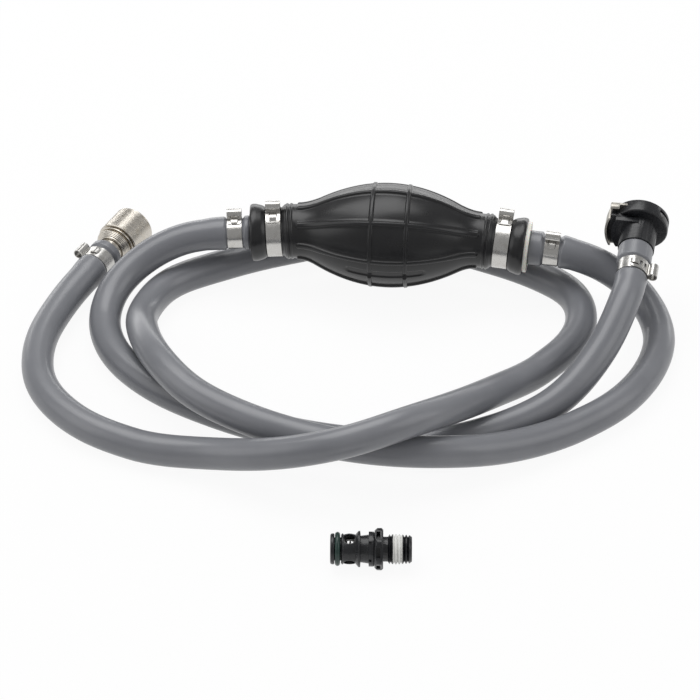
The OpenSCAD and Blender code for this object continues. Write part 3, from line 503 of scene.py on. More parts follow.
def eased_path(path):
    """The path in steps of about PATH_STEP, with its bends evened out.

    Each point is the mean of those up to EASE_HALF away, weighted by 1 + cos(pi away / EASE_HALF).
    The mean fades in from EASE_FROM to EASE_TO from either end, so the clamped ends stay straight.
    """
    length_at = distances_along(path)
    total = length_at[-1]
    at = np.linspace(0, total, int(total / PATH_STEP) + 1)
    path = read_at(at, length_at, path)
    step = at[1]
    reach = int(EASE_HALF / step)
    weights = 1 + np.cos(np.arange(-reach, reach + 1) * pi * step / EASE_HALF)
    weights /= weights.sum()
    padded = np.pad(path, ((reach, reach), (0, 0)), mode="edge")
    mean = np.stack([np.convolve(padded[:, k], weights, mode="valid") for k in range(3)], axis=1)
    from_end = np.minimum(at, total - at)[:, None]
    return path + smooth_step((from_end - EASE_FROM) / (EASE_TO - EASE_FROM)) * (mean - path)


# ---- places, in millimetres ----

AXIS_H = 30.8
BULB_HALF = 66.0
# the hoses' mouths, beyond the inlet's low step and the outlet's flange
INLET_MOUTH = BULB_HALF + 0.6
OUTLET_MOUTH = BULB_HALF + 1.8
# the bulb's necks bend to the front and down about a point inside it
NECK_PIVOT = 42.0
NECK_YAW, NECK_DROOP = radians(4.0), radians(3.5)
NECK_TURN = np.array([cos(NECK_DROOP) * cos(NECK_YAW), -cos(NECK_DROOP) * sin(NECK_YAW), -sin(NECK_DROOP)])
# height of a hose's middle where it lies on the floor
LIE = 7.6


def neck_way(side):
    """Direction of the bulb's outlet neck, side 1, or of its inlet neck, side -1."""
    return NECK_TURN * (side, 1, 1)


def neck_point(side, x):
    """Point on the axis of a neck, x from the middle of the bulb."""
    return tuple(np.array([side * NECK_PIVOT, 0, AXIS_H]) + (x - NECK_PIVOT) * neck_way(side))


# the hose from the bulb's inlet to the tank coupler
TANK_ROUTE = [
    neck_point(-1, INLET_MOUTH), neck_point(-1, 86), (-102, -6, 25), (-116, -12.5, 19.5),
    (-129, -27, 12.5), (-132.5, -47, LIE), (-124.5, -71, LIE), (-105, -92, LIE), (-78, -107.5, LIE),
    (-46, -119.5, LIE), (-10, -126, LIE), (28, -125, LIE), (62, -110, LIE), (88, -91, 11.5),
    (106, -68, 23.5), (115.6, -43, 34.6), (117.32, -33.6, 36.2), (119, -12, 39.2)]
# the hose from the bulb's outlet to the engine coupling
ENGINE_ROUTE = [
    neck_point(1, OUTLET_MOUTH), neck_point(1, 86), (107, -5, 20.5), (122, -13, 12.5),
    (132, -34, LIE), (130, -59, LIE), (117, -86, LIE), (93, -109, LIE), (64, -128, 11), (34, -141, 17.5),
    (4, -143, 19), (-26, -139, 20), (-56, -130.5, 22.5), (-83, -115, 23.8), (-102, -91.5, 23.8),
    (-111.5, -66, 17.8), (-114, -41, 9.2), (-105, -18, LIE), (-82, -2, LIE), (-52, 13, LIE),
    (-2, 28, LIE), (48, 15, LIE), (74, 3, LIE), (90, -10, LIE), (95, -29, LIE),
    (90, -48, LIE), (75, -69, LIE), (58, -92, 15), (42, -117, 26), (20, -142, 35.6),
    (-8, -157, 34.2), (-40, -155, 23.4), (-73, -144, 11.6), (-105, -137, LIE), (-136, -122, LIE),
    (-156.5, -97, LIE), (-161, -67, LIE), (-154, -38, 8.4), (-144.3, -17.2, 10.5), (-136.3, -0.2, 10.5)]

at_inlet = Place((-NECK_PIVOT, 0, AXIS_H), neck_way(-1))
at_outlet = Place((NECK_PIVOT, 0, AXIS_H), neck_way(1))
at_tank = Place(TANK_ROUTE[-1], np.subtract(TANK_ROUTE[-1], TANK_ROUTE[-2]))
at_engine = Place(ENGINE_ROUTE[-1], np.subtract(ENGINE_ROUTE[-1], ENGINE_ROUTE[-2]))

# ---- hoses ----

HOSE_R = 7.6
HOSE_SIDES = 32
HOSE_BORE_R = 5.35
BORE_SOFT = 0.3
# the mouth stands open a little, swells over the barb and stands up beside the clamp's pinch
MOUTH_FLARE = 0.2
HOSE_SWELL = 0.7
HOSE_PINCH = 0.65
PINCH_LIP = 0.45
BARB_LENGTH = 17.0
BARB_SWELL = 0.3
BAND_WIDTH = 7.0
# distances of the clamps' middles from the hoses' mouths
INLET_CLAMP, OUTLET_CLAMP, ENGINE_CLAMP, TANK_CLAMP = 7.2, 11.0, 8.5, 14.0
# distances from a mouth where the rings' steps change, and the three steps
MOUTH_RINGS, FINE_RINGS = 1.2, 22.0
MOUTH_STEP, FINE_STEP, LONG_STEP = 0.15, 0.4, 2.2


def hose_radius(from_mouth, clamp_at):
    """Outer radius at a distance from the hose's mouth: swollen over the barb, pinched under the clamp.

    It is a line through a few distances and radii, drawn round by the average of three lines a
    little apart.
    """
    edge, shoulder = BAND_WIDTH / 2 + 0.3, BAND_WIDTH / 2 + 1.3
    shape = [(0, MOUTH_FLARE), (0.5, HOSE_SWELL), (clamp_at - shoulder, HOSE_SWELL),
             (clamp_at - edge, -HOSE_PINCH), (clamp_at + edge, -HOSE_PINCH),
             (clamp_at + shoulder, PINCH_LIP), (BARB_LENGTH + 1, BARB_SWELL), (BARB_LENGTH + 5, 0)]
    distances, swells = np.transpose(shape)
    return HOSE_R + sum(np.interp(from_mouth + d, distances, swells) for d in (-0.25, 0, 0.25)) / 3


def hose_outline(total, clamp_start, clamp_end):
    """Distances along a hose and its radius at each: in one bore, over the outside, in the other."""
    near = np.concatenate([np.arange(0, MOUTH_RINGS, MOUTH_STEP),
                           np.arange(MOUTH_RINGS, FINE_RINGS, FINE_STEP)])
    middle = np.linspace(FINE_RINGS, total - FINE_RINGS, int(total / LONG_STEP))
    outside = np.concatenate([near, middle, total - near[::-1]])
    radius = hose_radius(outside, clamp_start) + hose_radius(total - outside, clamp_end) - HOSE_R
    bore_at = np.array([BARB_LENGTH, BARB_LENGTH, BORE_SOFT, 0.0])
    bore_r = np.array([0.0, HOSE_BORE_R, HOSE_BORE_R, HOSE_BORE_R + BORE_SOFT])
    return (np.concatenate([bore_at, outside, total - bore_at[::-1]]),
            np.concatenate([bore_r, radius, bore_r[::-1]]))


def make_hose(node, route, clamp_start, clamp_end):
    """Hose: rings of points round a smooth path, with its bore turned in at both mouths.

    A ring's point is path + r (cos a side - sin a down), where side is level and down is square
    to it and to the path. The map runs along the hose and round it, in metres.
    """
    path = eased_path(smooth_path(route))
    path[:, 2] = np.maximum(path[:, 2], LIE)
    length_at = distances_along(path)
    total = length_at[-1]
    stations, radius = hose_outline(total, clamp_start, clamp_end)
    centre = read_at(stations, length_at, path)
    ahead = read_at(stations, length_at, np.gradient(path, length_at, axis=0))
    ahead /= np.linalg.norm(ahead, axis=1, keepdims=True)
    down, side = (axis[:, None] for axis in cross_axes(ahead))
    a = (np.arange(HOSE_SIDES) * 2 * pi / HOSE_SIDES)[None, :, None]
    points = (centre[:, None] + radius[:, None, None] * (np.cos(a) * side - np.sin(a) * down)) * MM
    round_it = np.arange(HOSE_SIDES + 1) * 2 * pi * HOSE_R / HOSE_SIDES
    uv = np.stack(np.broadcast_arrays(round_it[None, :], stations[:, None]), axis=-1) * MM
    hose = make_piece(node + "_skin", points, FINISHES["grey_hose"], "fuel_line",
                      closed_columns=True, uv=uv)
    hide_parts(node)


# ---- clamps ----

STRIP = 0.45
STRIP_GAP = 0.02
STRIP_SOFT = 0.1
EAR_HEIGHT = 4.8
EAR_HEAD = 4.8
EAR_NECK = 3.2
BAND_EDGE_R = 0.6
SLOT_LENGTH, SLOT_WIDTH = 1.2, 2.6
TONGUE_LENGTH, TONGUE_WIDTH, TONGUE_HEIGHT = 4.0, 3.2, 0.65
# the cut beside a tongue
SLIT = 0.35
# the band's free end is this much narrower, over this length
END_TAPER, END_LENGTH = 0.28, 1.5
HOSE_CLAMP_R = HOSE_R - HOSE_PINCH
# degrees round the band: its free end goes on past the last slot or the tongue, its other end
# stops short of the ear's foot, and it sinks by one thickness past that foot
END_PAST, END_SHORT = 15, 14
SINK_FROM, SINK_TO = 8, 26
HEAD_POINTS = 26


def strip_line(inner_r, slots, tongue):
    """Middle line of the clamp's strip round the hose, and the turn of each point, in degrees.

    It starts at the free end as the upper layer, rises into the ear, which stands at turn 0,
    comes down again, sinks by one thickness and runs round to lie under its own start.
    """
    low, high = inner_r + STRIP / 2, inner_r + STRIP * 1.5 + STRIP_GAP
    half_neck = (EAR_NECK - STRIP) / 2
    foot = np.degrees(np.arcsin(half_neck / high))
    head_r = (EAR_HEAD - STRIP) / 2
    head_x = inner_r + BAND_EDGE_R + EAR_HEIGHT - EAR_HEAD / 2
    opening = np.arcsin(half_neck / head_r)
    head = np.linspace(-pi + opening, pi - opening, HEAD_POINTS)
    ear = np.stack([head_x + head_r * np.cos(head), head_r * np.sin(head)], axis=1)
    free_end = min([*slots, tongue]) - END_PAST
    # points stand at the ends of the slots and of the tongue, besides the even ones
    cuts = [*((at, SLOT_LENGTH) for at in slots), (tongue, TONGUE_LENGTH)]
    edges = np.concatenate([at + np.degrees(length / 2 / high) * np.array([-1, 1]) for at, length in cuts])
    upper = np.unique(np.concatenate([np.arange(free_end, -foot - 2, 2.0), edges[edges < 0]]))
    under = np.arange(foot + 1.5, 360 - foot - END_SHORT, 2.5)
    lower = np.unique(np.concatenate([under, edges[edges > 0]]))
    lower_r = np.interp(lower, [foot + SINK_FROM, foot + SINK_TO], [high, low])

    def ring(r, t):
        return np.stack([r * np.cos(np.radians(t)), r * np.sin(np.radians(t))], axis=1)

    rise = [(high + 0.3, -half_neck), (ear[0, 0] - 0.8, -half_neck)]
    fall = [(x, -y) for x, y in rise[::-1]]
    line = np.concatenate([ring(high, upper), rise, ear, fall, ring(lower_r, lower)])
    turns = np.concatenate([upper, np.zeros(len(rise) + len(ear) + len(fall)), lower])
    return line, turns


def make_clamp(node, where, middle, inner_r, ear_turn, slots=(45, 62, 79), tongue=-24, flip=1):
    """Ear clamp of thin strip: spiral band, crimped ear, a lanced tongue and slots.

    A point of the sheet is line + normal h + z w, with the tongue raised by
    height (1 - (arc / half)^2) over its length. Its free end has round corners. Flip -1 winds
    the band the other way.
    """
    line, turns = strip_line(inner_r, slots, tongue)
    slope = np.gradient(line, axis=0)
    slope /= np.linalg.norm(slope, axis=1, keepdims=True)
    normal = np.stack([slope[:, 1], -slope[:, 0]], axis=1)
    half, slot, lance = BAND_WIDTH / 2, SLOT_WIDTH / 2, TONGUE_WIDTH / 2
    beside = np.array([slot / 2, slot, lance, lance + SLIT, half * 0.85, half])
    width = np.concatenate([-beside[::-1], [0], beside])
    arc = np.radians(turns - tongue) * inner_r
    rise = TONGUE_HEIGHT * np.clip(1 - (arc / (TONGUE_LENGTH / 2)) ** 2, 0, 1)
    rise = rise[:, None] * (np.abs(width) < lance + 0.01)
    from_end = np.radians(turns - turns[0]) * inner_r
    narrow = 1 - END_TAPER * np.clip(1 - from_end / END_LENGTH, 0, 1) ** 2
    ear = radians(ear_turn)

    def layer(height):
        flat = line[:, None] + normal[:, None] * (height + rise)[..., None]
        x, y = flat[..., 0], flip * flat[..., 1]
        z = middle + width[None, :] * narrow[:, None]
        turned = [x * cos(ear) - y * sin(ear), x * sin(ear) + y * cos(ear), z]
        return where.to_frame(np.stack(turned, axis=-1))

    turn = (turns[:-1] + turns[1:]) / 2
    wide = np.abs(width[:-1] + width[1:]) / 2
    around = np.remainder(turn + 180, 360) - 180
    from_slot = np.min([np.abs(around - at) for at in slots], axis=0) * radians(1) * inner_r
    in_slot = (from_slot < SLOT_LENGTH / 2)[:, None] & (wide < slot)
    at_tongue = np.abs(np.radians(turn - tongue) * inner_r) < TONGUE_LENGTH / 2 - 0.1
    in_slit = at_tongue[:, None] & (wide > lance) & (wide < lance + SLIT)
    clamp = make_sheet(node + "_skin", layer(STRIP / 2), layer(-STRIP / 2), ~(in_slot | in_slit),
                       FINISHES["clamp_steel"], "fuel_line", STRIP_SOFT)
    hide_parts(node)
    return clamp


# ---- engine coupling's sleeve ----

SLEEVE_Z = 3.4
SLEEVE_R = 10.4
SLEEVE_LENGTH = 22.0
SLEEVE_BORE_R, SLEEVE_TAIL_R = 7.5, 6.4
SLEEVE_STEP = 3.0
SLEEVE_SOFT = 0.16
KNURL_FROM, KNURL_TO = 6.3, 20.9
KNURL_STEP = 0.14
KNURL_TEETH = 96
TOOTH_POINTS = 4
KNURL_DEPTH = 0.09
KNURL_HALF = 0.3
KNURL_FADE = 0.3


def make_sleeve():
    """Sleeve: conical tail, groove, thin ring, groove and a diamond knurl, hollow inside.

    The knurl's radius is R - depth max(v(u + w), v(u - w)), where u counts teeth round the sleeve, w
    counts pitches along it and v is a V groove across each half number.
    """
    tail = rounded([(SLEEVE_TAIL_R, 0), (6.9, 0), (7.3, 0.4), (7.3, 0.8), (7.9, 0.95), (7.9, 1.3),
                    (8.4, 1.45), (8.4, 1.8), (8.9, 1.95), (8.9, 2.3), (9.3, 2.5), (9.3, 3.05),
                    (8.1, 3.15), (8.1, 4.1), (9.7, 4.2), (9.8, 4.6), (9.7, 5.0), (8.5, 5.1), (8.5, 5.8),
                    (SLEEVE_R - 0.25, 5.9), (SLEEVE_R, KNURL_FROM - 0.1)], SLEEVE_SOFT, 4)
    nose = rounded([(SLEEVE_R, KNURL_TO + 0.1), (SLEEVE_R - 0.15, 21.2), (9.6, 21.9), (9.3, SLEEVE_LENGTH),
                    (7.8, SLEEVE_LENGTH), (SLEEVE_BORE_R, 21.6), (SLEEVE_BORE_R, SLEEVE_STEP),
                    (SLEEVE_TAIL_R, SLEEVE_STEP), (SLEEVE_TAIL_R, 0)], SLEEVE_SOFT, 4)[:-1]
    knurl_z = np.arange(KNURL_FROM, KNURL_TO, KNURL_STEP)
    knurl = np.stack([np.full_like(knurl_z, SLEEVE_R), knurl_z], axis=1)
    profile = np.concatenate([tail, knurl, nose])
    columns = KNURL_TEETH * TOOTH_POINTS
    turns = np.arange(columns) * 2 * pi / columns
    points = revolved(profile[:, :1], profile[:, 1:], turns)
    pitch = 2 * pi * SLEEVE_R / KNURL_TEETH
    u, w = turns[None, :] * KNURL_TEETH / (2 * pi), knurl_z[:, None] / pitch

    def groove(t):
        return np.clip(1 - np.abs(np.remainder(t, 1) - 0.5) / KNURL_HALF, 0, 1)

    fade = np.clip(np.minimum(knurl_z - KNURL_FROM, KNURL_TO - knurl_z) / KNURL_FADE, 0, 1)[:, None]
    share = 1 - KNURL_DEPTH * fade * np.maximum(groove(u + w), groove(u - w)) / SLEEVE_R
    points[len(tail):len(tail) + len(knurl), :, :2] *= share[..., None]
    points[..., 2] += SLEEVE_Z
    sleeve = make_piece("engine_sleeve_skin", at_engine.to_frame(points), FINISHES["nickel"],
                        "engine_sleeve", closed_rows=True, closed_columns=True)
    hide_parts("engine_sleeve")
    return sleeve


# ---- bulb ----

BULB_R = 24.6
NECK_R = 13.0
BELLY_HALF = 38.5
BELLY_BLEND = 3.0
BULB_WALL = 3.5
PLUG_R = 9.4
PLUG_DEPTH = 20.0
BEND_HALF = 8.0
ROLL_R = 13.8
ROLL_WIDTH = 7.2
GROOVE_R = 11.5
END_SOFT = 0.7
BAND_AT = BULB_HALF - ROLL_WIDTH - 0.4 - BAND_WIDTH / 2
RIDGE_AT = BAND_AT - BAND_WIDTH / 2 - 3.1
RIDGE_PITCH = 1.8
RIDGE_HEIGHT = 0.5
RIB_COUNT = 8
RIB_STEP = 2 * pi / RIB_COUNT
RIB_WIDTH = 2.2
RIB_HEIGHT = 1.0
RIB_SHOULDER = 0.7
RIB_HALF = 44.0
FIRST_RIB = radians(39.2)
# the ribs widen by this share, between these distances, where they run down into the necks
RIB_WIDENING = 0.35
WIDEN_FROM, WIDEN_TO = 24.0, 36.0
HOOPS_AT = (-7.5, 9.5)
RECESS_TURN = radians(-77.4)
RECESS_HALF = 19.0
RECESS_WIDTH = 4.4
RECESS_DEPTH = 0.7
RECESS_SLOPE = 0.6
# the rib before the recess, and the columns of a plain panel and of the recess's panel
RECESS_RIB = int((RECESS_TURN - FIRST_RIB) % (2 * pi) / RIB_STEP)
PANEL_COLUMNS, RECESS_COLUMNS = 9, 45
# the skin's plain rows reach this far; closer ones follow where the ribs end, and at the hoops
PLAIN_ROWS_TO, END_ROWS_FROM = 41.2, 41.4
ROW_STEP, END_ROW_STEP = 0.8, 0.2
HOOP_REACH, HOOP_ROWS = 1.3, 17
CAVITY_ROWS = 40


def belly_radius(x):
    """The bulb's radius at a distance from its middle: a parabola that blends into the neck.

    Where the parabola and the neck come nearer than the blend, the larger is raised by
    (blend - apart)^2 / (4 blend).
    """
    belly = BULB_R - (BULB_R - NECK_R) * (x / BELLY_HALF) ** 2
    apart = np.minimum(BELLY_BLEND, np.abs(belly - NECK_R))
    return np.maximum(belly, NECK_R) + (BELLY_BLEND - apart) ** 2 / (4 * BELLY_BLEND)


def bend(local):
    """Carries points of the bulb to the frame along its bent axis.

    The axis is straight in the middle and in the necks; between them it is the parabola arc
    (1 - u)^2 start + 2 u (1 - u) pivot + u^2 end, from BEND_HALF before the pivot to as much after.
    """
    x = local[..., 2]
    side = np.where(x < 0, -1.0, 1.0)[..., None]
    way = NECK_TURN * np.concatenate([side, np.ones_like(side), np.ones_like(side)], axis=-1)
    middle_way = side * (1, 0, 0)
    past = (np.abs(x)[..., None] - NECK_PIVOT) / BEND_HALF
    u = np.clip((past + 1) / 2, 0, 1)
    arc = u ** 2 * way - (1 - u) ** 2 * middle_way
    arc += np.minimum(past + 1, 0) * middle_way + np.maximum(past - 1, 0) * way
    centre = side * (NECK_PIVOT, 0, 0) + (0, 0, AXIS_H) + BEND_HALF * arc
    along = side * ((1 - u) * middle_way + u * way)
    along /= np.linalg.norm(along, axis=-1, keepdims=True)
    down, left = cross_axes(along)
    return (centre + local[..., :1] * down + local[..., 1:2] * left) * MM


def bead(distance):
    """Height of a moulded bead at a distance from its middle line: H sqrt(1 - (1 - e)^2).

    The e grows from 0 at the bead's foot to 1 where the round shoulder meets the flat crown.
    """
    edge = np.clip((1 - np.abs(distance) / (RIB_WIDTH / 2)) / RIB_SHOULDER, 0, 1)
    return RIB_HEIGHT * np.sqrt(1 - (1 - edge) ** 2)


def bulb_end_profile():
    """Radius and place of the bulb's end, from the neck out over the roll to the valve plug."""
    start, end = BULB_HALF - ROLL_WIDTH, BULB_HALF
    groove_start = BAND_AT - BAND_WIDTH / 2

    def ridge(at):
        crest = NECK_R + RIDGE_HEIGHT
        return [(NECK_R, at - 0.8), (crest, at - 0.25), (crest, at + 0.25), (NECK_R, at + 0.8)]

    corners = [(NECK_R, RIB_HALF + 0.6), *ridge(RIDGE_AT - RIDGE_PITCH), *ridge(RIDGE_AT),
               (NECK_R, groove_start - 2.0), (GROOVE_R, groove_start - 0.4), (GROOVE_R, start - 0.2),
               (GROOVE_R + 0.6, start), (ROLL_R - 0.8, start + 1.6), (ROLL_R, end - 2.6),
               (ROLL_R, end - 1.0), (ROLL_R - 0.5, end), (PLUG_R, end)]
    return rounded(corners, END_SOFT, 6)


def bulb_rows():
    """Distances of the skin's rows from the bulb's middle, closer together at hoops and ribs' ends."""
    rows = np.arange(-PLAIN_ROWS_TO, PLAIN_ROWS_TO + 0.1, ROW_STEP)
    rows = rows[np.min([np.abs(rows - at) for at in HOOPS_AT], axis=0) > HOOP_REACH + 0.2]
    near_hoops = [at + np.linspace(-HOOP_REACH, HOOP_REACH, HOOP_ROWS) for at in HOOPS_AT]
    near_ends = np.arange(END_ROWS_FROM, RIB_HALF + 0.5, END_ROW_STEP)
    return np.unique(np.concatenate([rows, *near_hoops, near_ends, -near_ends]))


def bulb_columns():
    """Each column's angle in radians round the bulb, and the arc in millimetres that it adds.

    A column is at its angle plus arc / radius: columns on a rib keep their arc from its middle
    line, and those on a panel share out what lies between two ribs.
    """
    on_half = np.array([0.3, 0.6, 0.8, 0.95, 1.06, 1.12])
    on_rib = np.concatenate([-on_half[::-1], [0], on_half])
    angles, arcs = [], []
    for k in range(RIB_COUNT):
        share = np.linspace(0, 1, (RECESS_COLUMNS if k == RECESS_RIB else PANEL_COLUMNS) + 2)[1:-1]
        angles += [np.full(len(on_rib), k), k + share]
        arcs += [on_rib, on_rib[-1] * (1 - 2 * share)]
    return FIRST_RIB + RIB_STEP * np.concatenate(angles), np.concatenate(arcs)


def bulb_relief(x, turn, base_r, widening):
    """Height over the plain skin: the bead of the nearest rib or hoop, minus the recess.

    Its ribs are straight beads with round ends; its hoops run round.
    """
    off_rib = (np.remainder(turn - FIRST_RIB + RIB_STEP / 2, RIB_STEP) - RIB_STEP / 2) * base_r
    past_end = np.clip(np.abs(x) - (RIB_HALF - RIB_WIDTH / 2), 0, None)
    hoops = sum(bead(x - at) for at in HOOPS_AT)
    raised = np.maximum(bead(np.hypot(off_rib / widening, past_end)), hoops)
    aside = (np.remainder(turn - RECESS_TURN + pi, 2 * pi) - pi) * base_r
    along = np.clip(np.abs(x) - (RECESS_HALF - RECESS_WIDTH / 2), 0, None)
    into = smooth_step((RECESS_WIDTH / 2 - np.hypot(aside, along)) / RECESS_SLOPE)
    return raised * (1 - into) - RECESS_DEPTH * into


def make_bulb():
    """Bulb: a closed loop of rows, out over the skin from end to end and back through the cavity.

    The skin's radius is the belly's or the end profile's, plus the relief. The cavity's is the
    belly's less the wall, or the valve plug's where that is more.
    """
    end = bulb_end_profile()
    rows = bulb_rows()
    angles, arcs = bulb_columns()
    x = np.concatenate([-end[::-1, 1], rows, end[:, 1]])[:, None]
    base_r = np.concatenate([end[::-1, 0], belly_radius(rows), end[:, 0]])[:, None]
    widening = 1 + RIB_WIDENING * smooth_step((np.abs(x) - WIDEN_FROM) / (WIDEN_TO - WIDEN_FROM))
    turn = angles + arcs * widening / base_r
    skin = revolved(base_r + bulb_relief(x, turn, base_r, widening), x, turn)
    # the cavity, walked back from the far end
    cavity = BULB_HALF - PLUG_DEPTH
    cavity_x = np.linspace(cavity, -cavity, CAVITY_ROWS)
    inside_x = np.concatenate([[BULB_HALF], cavity_x, [-BULB_HALF]])[:, None]
    inside_r = np.maximum(PLUG_R, belly_radius(inside_x) - BULB_WALL)
    inside = revolved(inside_r, inside_x, angles + arcs / BULB_R)
    bulb = make_piece("bulb_skin", bend(np.concatenate([skin, inside])), FINISHES["black_rubber"],
                      "fuel_line", closed_rows=True, closed_columns=True)
    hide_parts("bulb")


# ---- tank coupler and its loose fitting ----

# the latch's tab has a bowed outline; its thickness is also that of the plate's bent edges
BOW_CENTRE, BOW_R, TAB_T = -7.6, 24.0, 0.9
TAB_FROM = 5.0
TAB_BEND, BUTTON_BEND = 1.3, 1.4
BUTTON_GAP = 0.02
LATCH_Z, LATCH_T = 17.3, 1.2
LATCH_TOP = LATCH_Z + LATCH_T
# how near to the outline and to its height a point on it lies
BOW_NEAR, LEVEL_NEAR = 0.05, 0.03
# a bent edge leaves the plate at its root, turns at its outer face and stops at its end
FLANGE_ROOT, FLANGE_X, FLANGE_END = 10.2, 12.2, 14.4
FLANGE_FROM, FLANGE_TO = 9.9, 14.2
FLANGE_BEND = 1.0
FLANGE_SOFT = 0.2


def bow_edge(radius, height):
    """Test for points on the bowed outline of the latch's tab at a height along the coupler."""
    def picks(point):
        x, y, z = at_tank.to_local(point)
        on_bow = abs(np.hypot(x, y - BOW_CENTRE) - radius) < BOW_NEAR
        return y > TAB_FROM and abs(z - height) < LEVEL_NEAR and on_bow
    return picks


def make_flange(name, side):
    """Edge of the latch plate that is bent back along the coupler: the bent section is drawn along y.

    The section is two lines, TAB_T apart, each with a rounded corner for the bend. A row of points
    is middle + share (section - middle), and the share falls to 0 at both ends, which closes them.
    """
    inside, under = FLANGE_X - TAB_T, LATCH_TOP - TAB_T
    outer = rounded([(FLANGE_ROOT, LATCH_TOP), (FLANGE_X, LATCH_TOP), (FLANGE_X, FLANGE_END)],
                    FLANGE_BEND + TAB_T, 8)
    inner = rounded([(inside, FLANGE_END), (inside, under), (FLANGE_ROOT, under)], FLANGE_BEND, 8)
    section = np.concatenate([outer, inner])
    middle = section.mean(axis=0)
    share = np.array([0, 0.94, 1, 1, 0.94, 0])[:, None, None]
    y = np.array([FLANGE_FROM, FLANGE_FROM, FLANGE_FROM + FLANGE_SOFT,
                  FLANGE_TO - FLANGE_SOFT, FLANGE_TO, FLANGE_TO])[:, None]
    x, z = np.moveaxis(middle + (section - middle) * share, -1, 0)
    points = np.stack(np.broadcast_arrays(side * x, y, z), axis=-1)
    flange = make_piece(name, at_tank.to_frame(points), FINISHES["shaded_latch_steel"], "latch",
                        closed_columns=True)
    return flange


def make_coupler():
    """Tank coupler's body, button and latch plate with softened edges, and the plate's bent edges."""
    body = make_softened("tank_coupler_body", FINISHES["black_nylon"], "fuel_line", bevel=0.3)
    button_bow = bow_edge(BOW_R - TAB_T - BUTTON_GAP, LATCH_Z - BUTTON_GAP)
    button = make_softened("latch_button", FINISHES["black_nylon"], "latch", bevel=0.3,
                           bends=[(button_bow, BUTTON_BEND)])
    plate = make_softened("latch_plate", FINISHES["shaded_latch_steel"], "latch", bevel=0.15,
                          bends=[(bow_edge(BOW_R - TAB_T, LATCH_Z), TAB_BEND),
                                 (bow_edge(BOW_R, LATCH_TOP), TAB_BEND + TAB_T)])
    upper, lower = make_flange("latch_flange_upper", -1), make_flange("latch_flange_lower", 1)
    return [body, button, plate, upper, lower]


def make_fitting():
    """Loose tank fitting's body with softened edges."""
    fitting = make_softened("tank_fitting_body", FINISHES["black_nylon"], "tank_fitting", bevel=0.2)


# ---- floor and light ----

FLOOR_HALF = 4.0
FLOOR_GREY = 0.86
# how much of what the camera and reflections see of the floor is plain white
FLOOR_WHITE = 0.93
WORLD_STRENGTH = 0.4
# the middle of the laid-out line, to which the lamps are turned
LAMP_TARGET = (0, -0.07, 0.02)


def make_floor():
    """Pale floor that shows nearly white to the camera and to reflections, and keeps soft shadows."""
    pale = Finish("pale_floor", (FLOOR_GREY,) * 3, 0.9, specular=0.1)
    rays = pale.add("ShaderNodeLightPath").outputs
    seen = rays["Is Camera Ray"]
    for name in ("Is Glossy Ray", "Is Transmission Ray"):
        seen = pale.add("ShaderNodeMath", {0: seen, 1: rays[name]}, operation="MAXIMUM").outputs[0]
    share = pale.add("ShaderNodeMath", {0: seen, 1: FLOOR_WHITE}, operation="MULTIPLY").outputs[0]
    glow = pale.add("ShaderNodeEmission").outputs[0]
    mix = pale.add("ShaderNodeMixShader", {0: share, 1: pale.shader.outputs[0], 2: glow})
    pale.tree.links.new(mix.outputs[0], pale.tree.nodes["Material Output"].inputs["Surface"])
    mesh = bpy.data.meshes.new("floor")
    corners = [(x * FLOOR_HALF, y * FLOOR_HALF, 0) for x, y in ((-1, -1), (1, -1), (1, 1), (-1, 1))]
    mesh.from_pydata(corners, [], [(0, 1, 2, 3)])
    mesh.materials.append(pale.material)
    floor = bpy.data.objects.new("floor", mesh)
    bpy.context.scene.collection.objects.link(floor)


def make_lamp(name, spot, width, height, power):
    """Soft lamp at a spot, turned towards the laid-out line."""
    lamp = bpy.data.objects.new(name, bpy.data.lights.new(name, "AREA"))
    lamp.data.shape = "RECTANGLE"
    lamp.data.size = width
    lamp.data.size_y = height
    lamp.data.energy = power
    back = np.array(spot, float) - LAMP_TARGET
    back /= np.linalg.norm(back)
    right = np.cross([0, 0, 1], back)
    right /= np.linalg.norm(right)
    lamp.matrix_world = turned_to(right, np.cross(back, right), back, spot)
    bpy.context.scene.collection.objects.link(lamp)


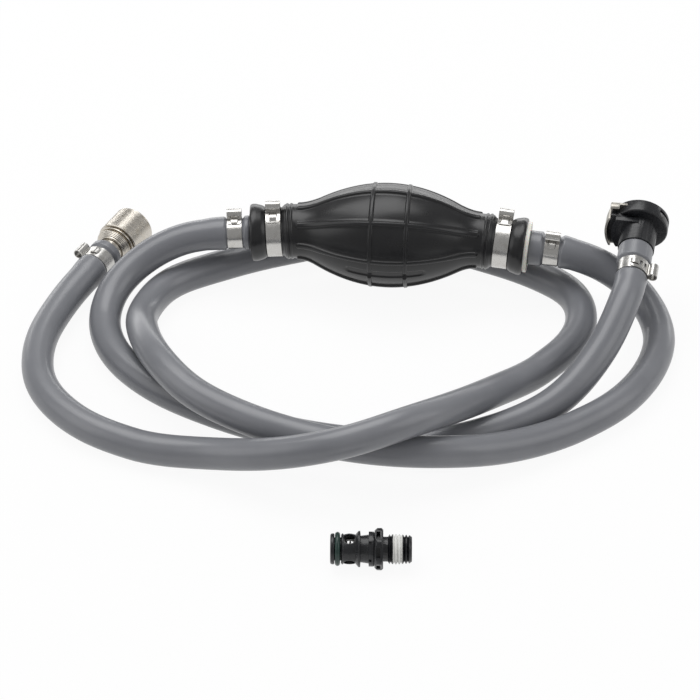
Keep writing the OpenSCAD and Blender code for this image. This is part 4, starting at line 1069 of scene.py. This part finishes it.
def make_light():
    """Large soft lamp above and behind, a low one behind, weaker ones at both sides, an even world."""
    make_lamp("overhead", (-0.3, 0.45, 1.5), width=1.5, height=1.2, power=17)
    make_lamp("low_back", (0.0, 1.8, 0.2), width=4.0, height=0.4, power=15)
    make_lamp("left_front", (-1.5, -0.5, 0.9), width=1.2, height=1.2, power=5)
    make_lamp("right_front", (1.5, -0.3, 1.0), width=1.2, height=1.2, power=6)
    world = bpy.data.worlds.new("pale_world")
    bpy.context.scene.world = world
    world.use_nodes = True
    background = world.node_tree.nodes["Background"]
    background.inputs["Color"].default_value = (1, 1, 1, 1)
    background.inputs["Strength"].default_value = WORLD_STRENGTH


# ---- making ----


def dress_nodes():
    """Gives every CAD node the finish of its material slot."""
    for part in frame["record"]["subparts"]:
        skin = frame["nodes"][part["node"]].data.materials
        skin.clear()
        skin.append(FINISHES[part["material_slot"]])


make_camera()
dress_nodes()
make_clamp("bulb_clamp_inlet", at_inlet, BAND_AT - NECK_PIVOT, GROOVE_R, ear_turn=188)
make_clamp("bulb_clamp_outlet", at_outlet, BAND_AT - NECK_PIVOT, GROOVE_R, ear_turn=145, flip=-1)
make_clamp("hose_clamp_inlet", at_inlet, INLET_MOUTH + INLET_CLAMP - NECK_PIVOT, HOSE_CLAMP_R,
           ear_turn=202)
make_clamp("hose_clamp_outlet", at_outlet, OUTLET_MOUTH + OUTLET_CLAMP - NECK_PIVOT, HOSE_CLAMP_R,
           ear_turn=188, flip=-1)
tank_clamp = make_clamp("hose_clamp_tank", at_tank, -TANK_CLAMP, HOSE_CLAMP_R, ear_turn=265,
                        slots=(-32, -52), tongue=-76)
engine_clamp = make_clamp("hose_clamp_engine", at_engine, -ENGINE_CLAMP, HOSE_CLAMP_R, ear_turn=115,
                          slots=(-45, -62, -79), tongue=56)
sleeve = make_sleeve()
coupler = make_coupler()
make_fitting()
make_hose("tank_hose", TANK_ROUTE, INLET_CLAMP, TANK_CLAMP)
make_hose("engine_hose", ENGINE_ROUTE, OUTLET_CLAMP, ENGINE_CLAMP)
make_bulb()
make_floor()
make_light()
bpy.context.scene.view_settings.view_transform = "Standard"
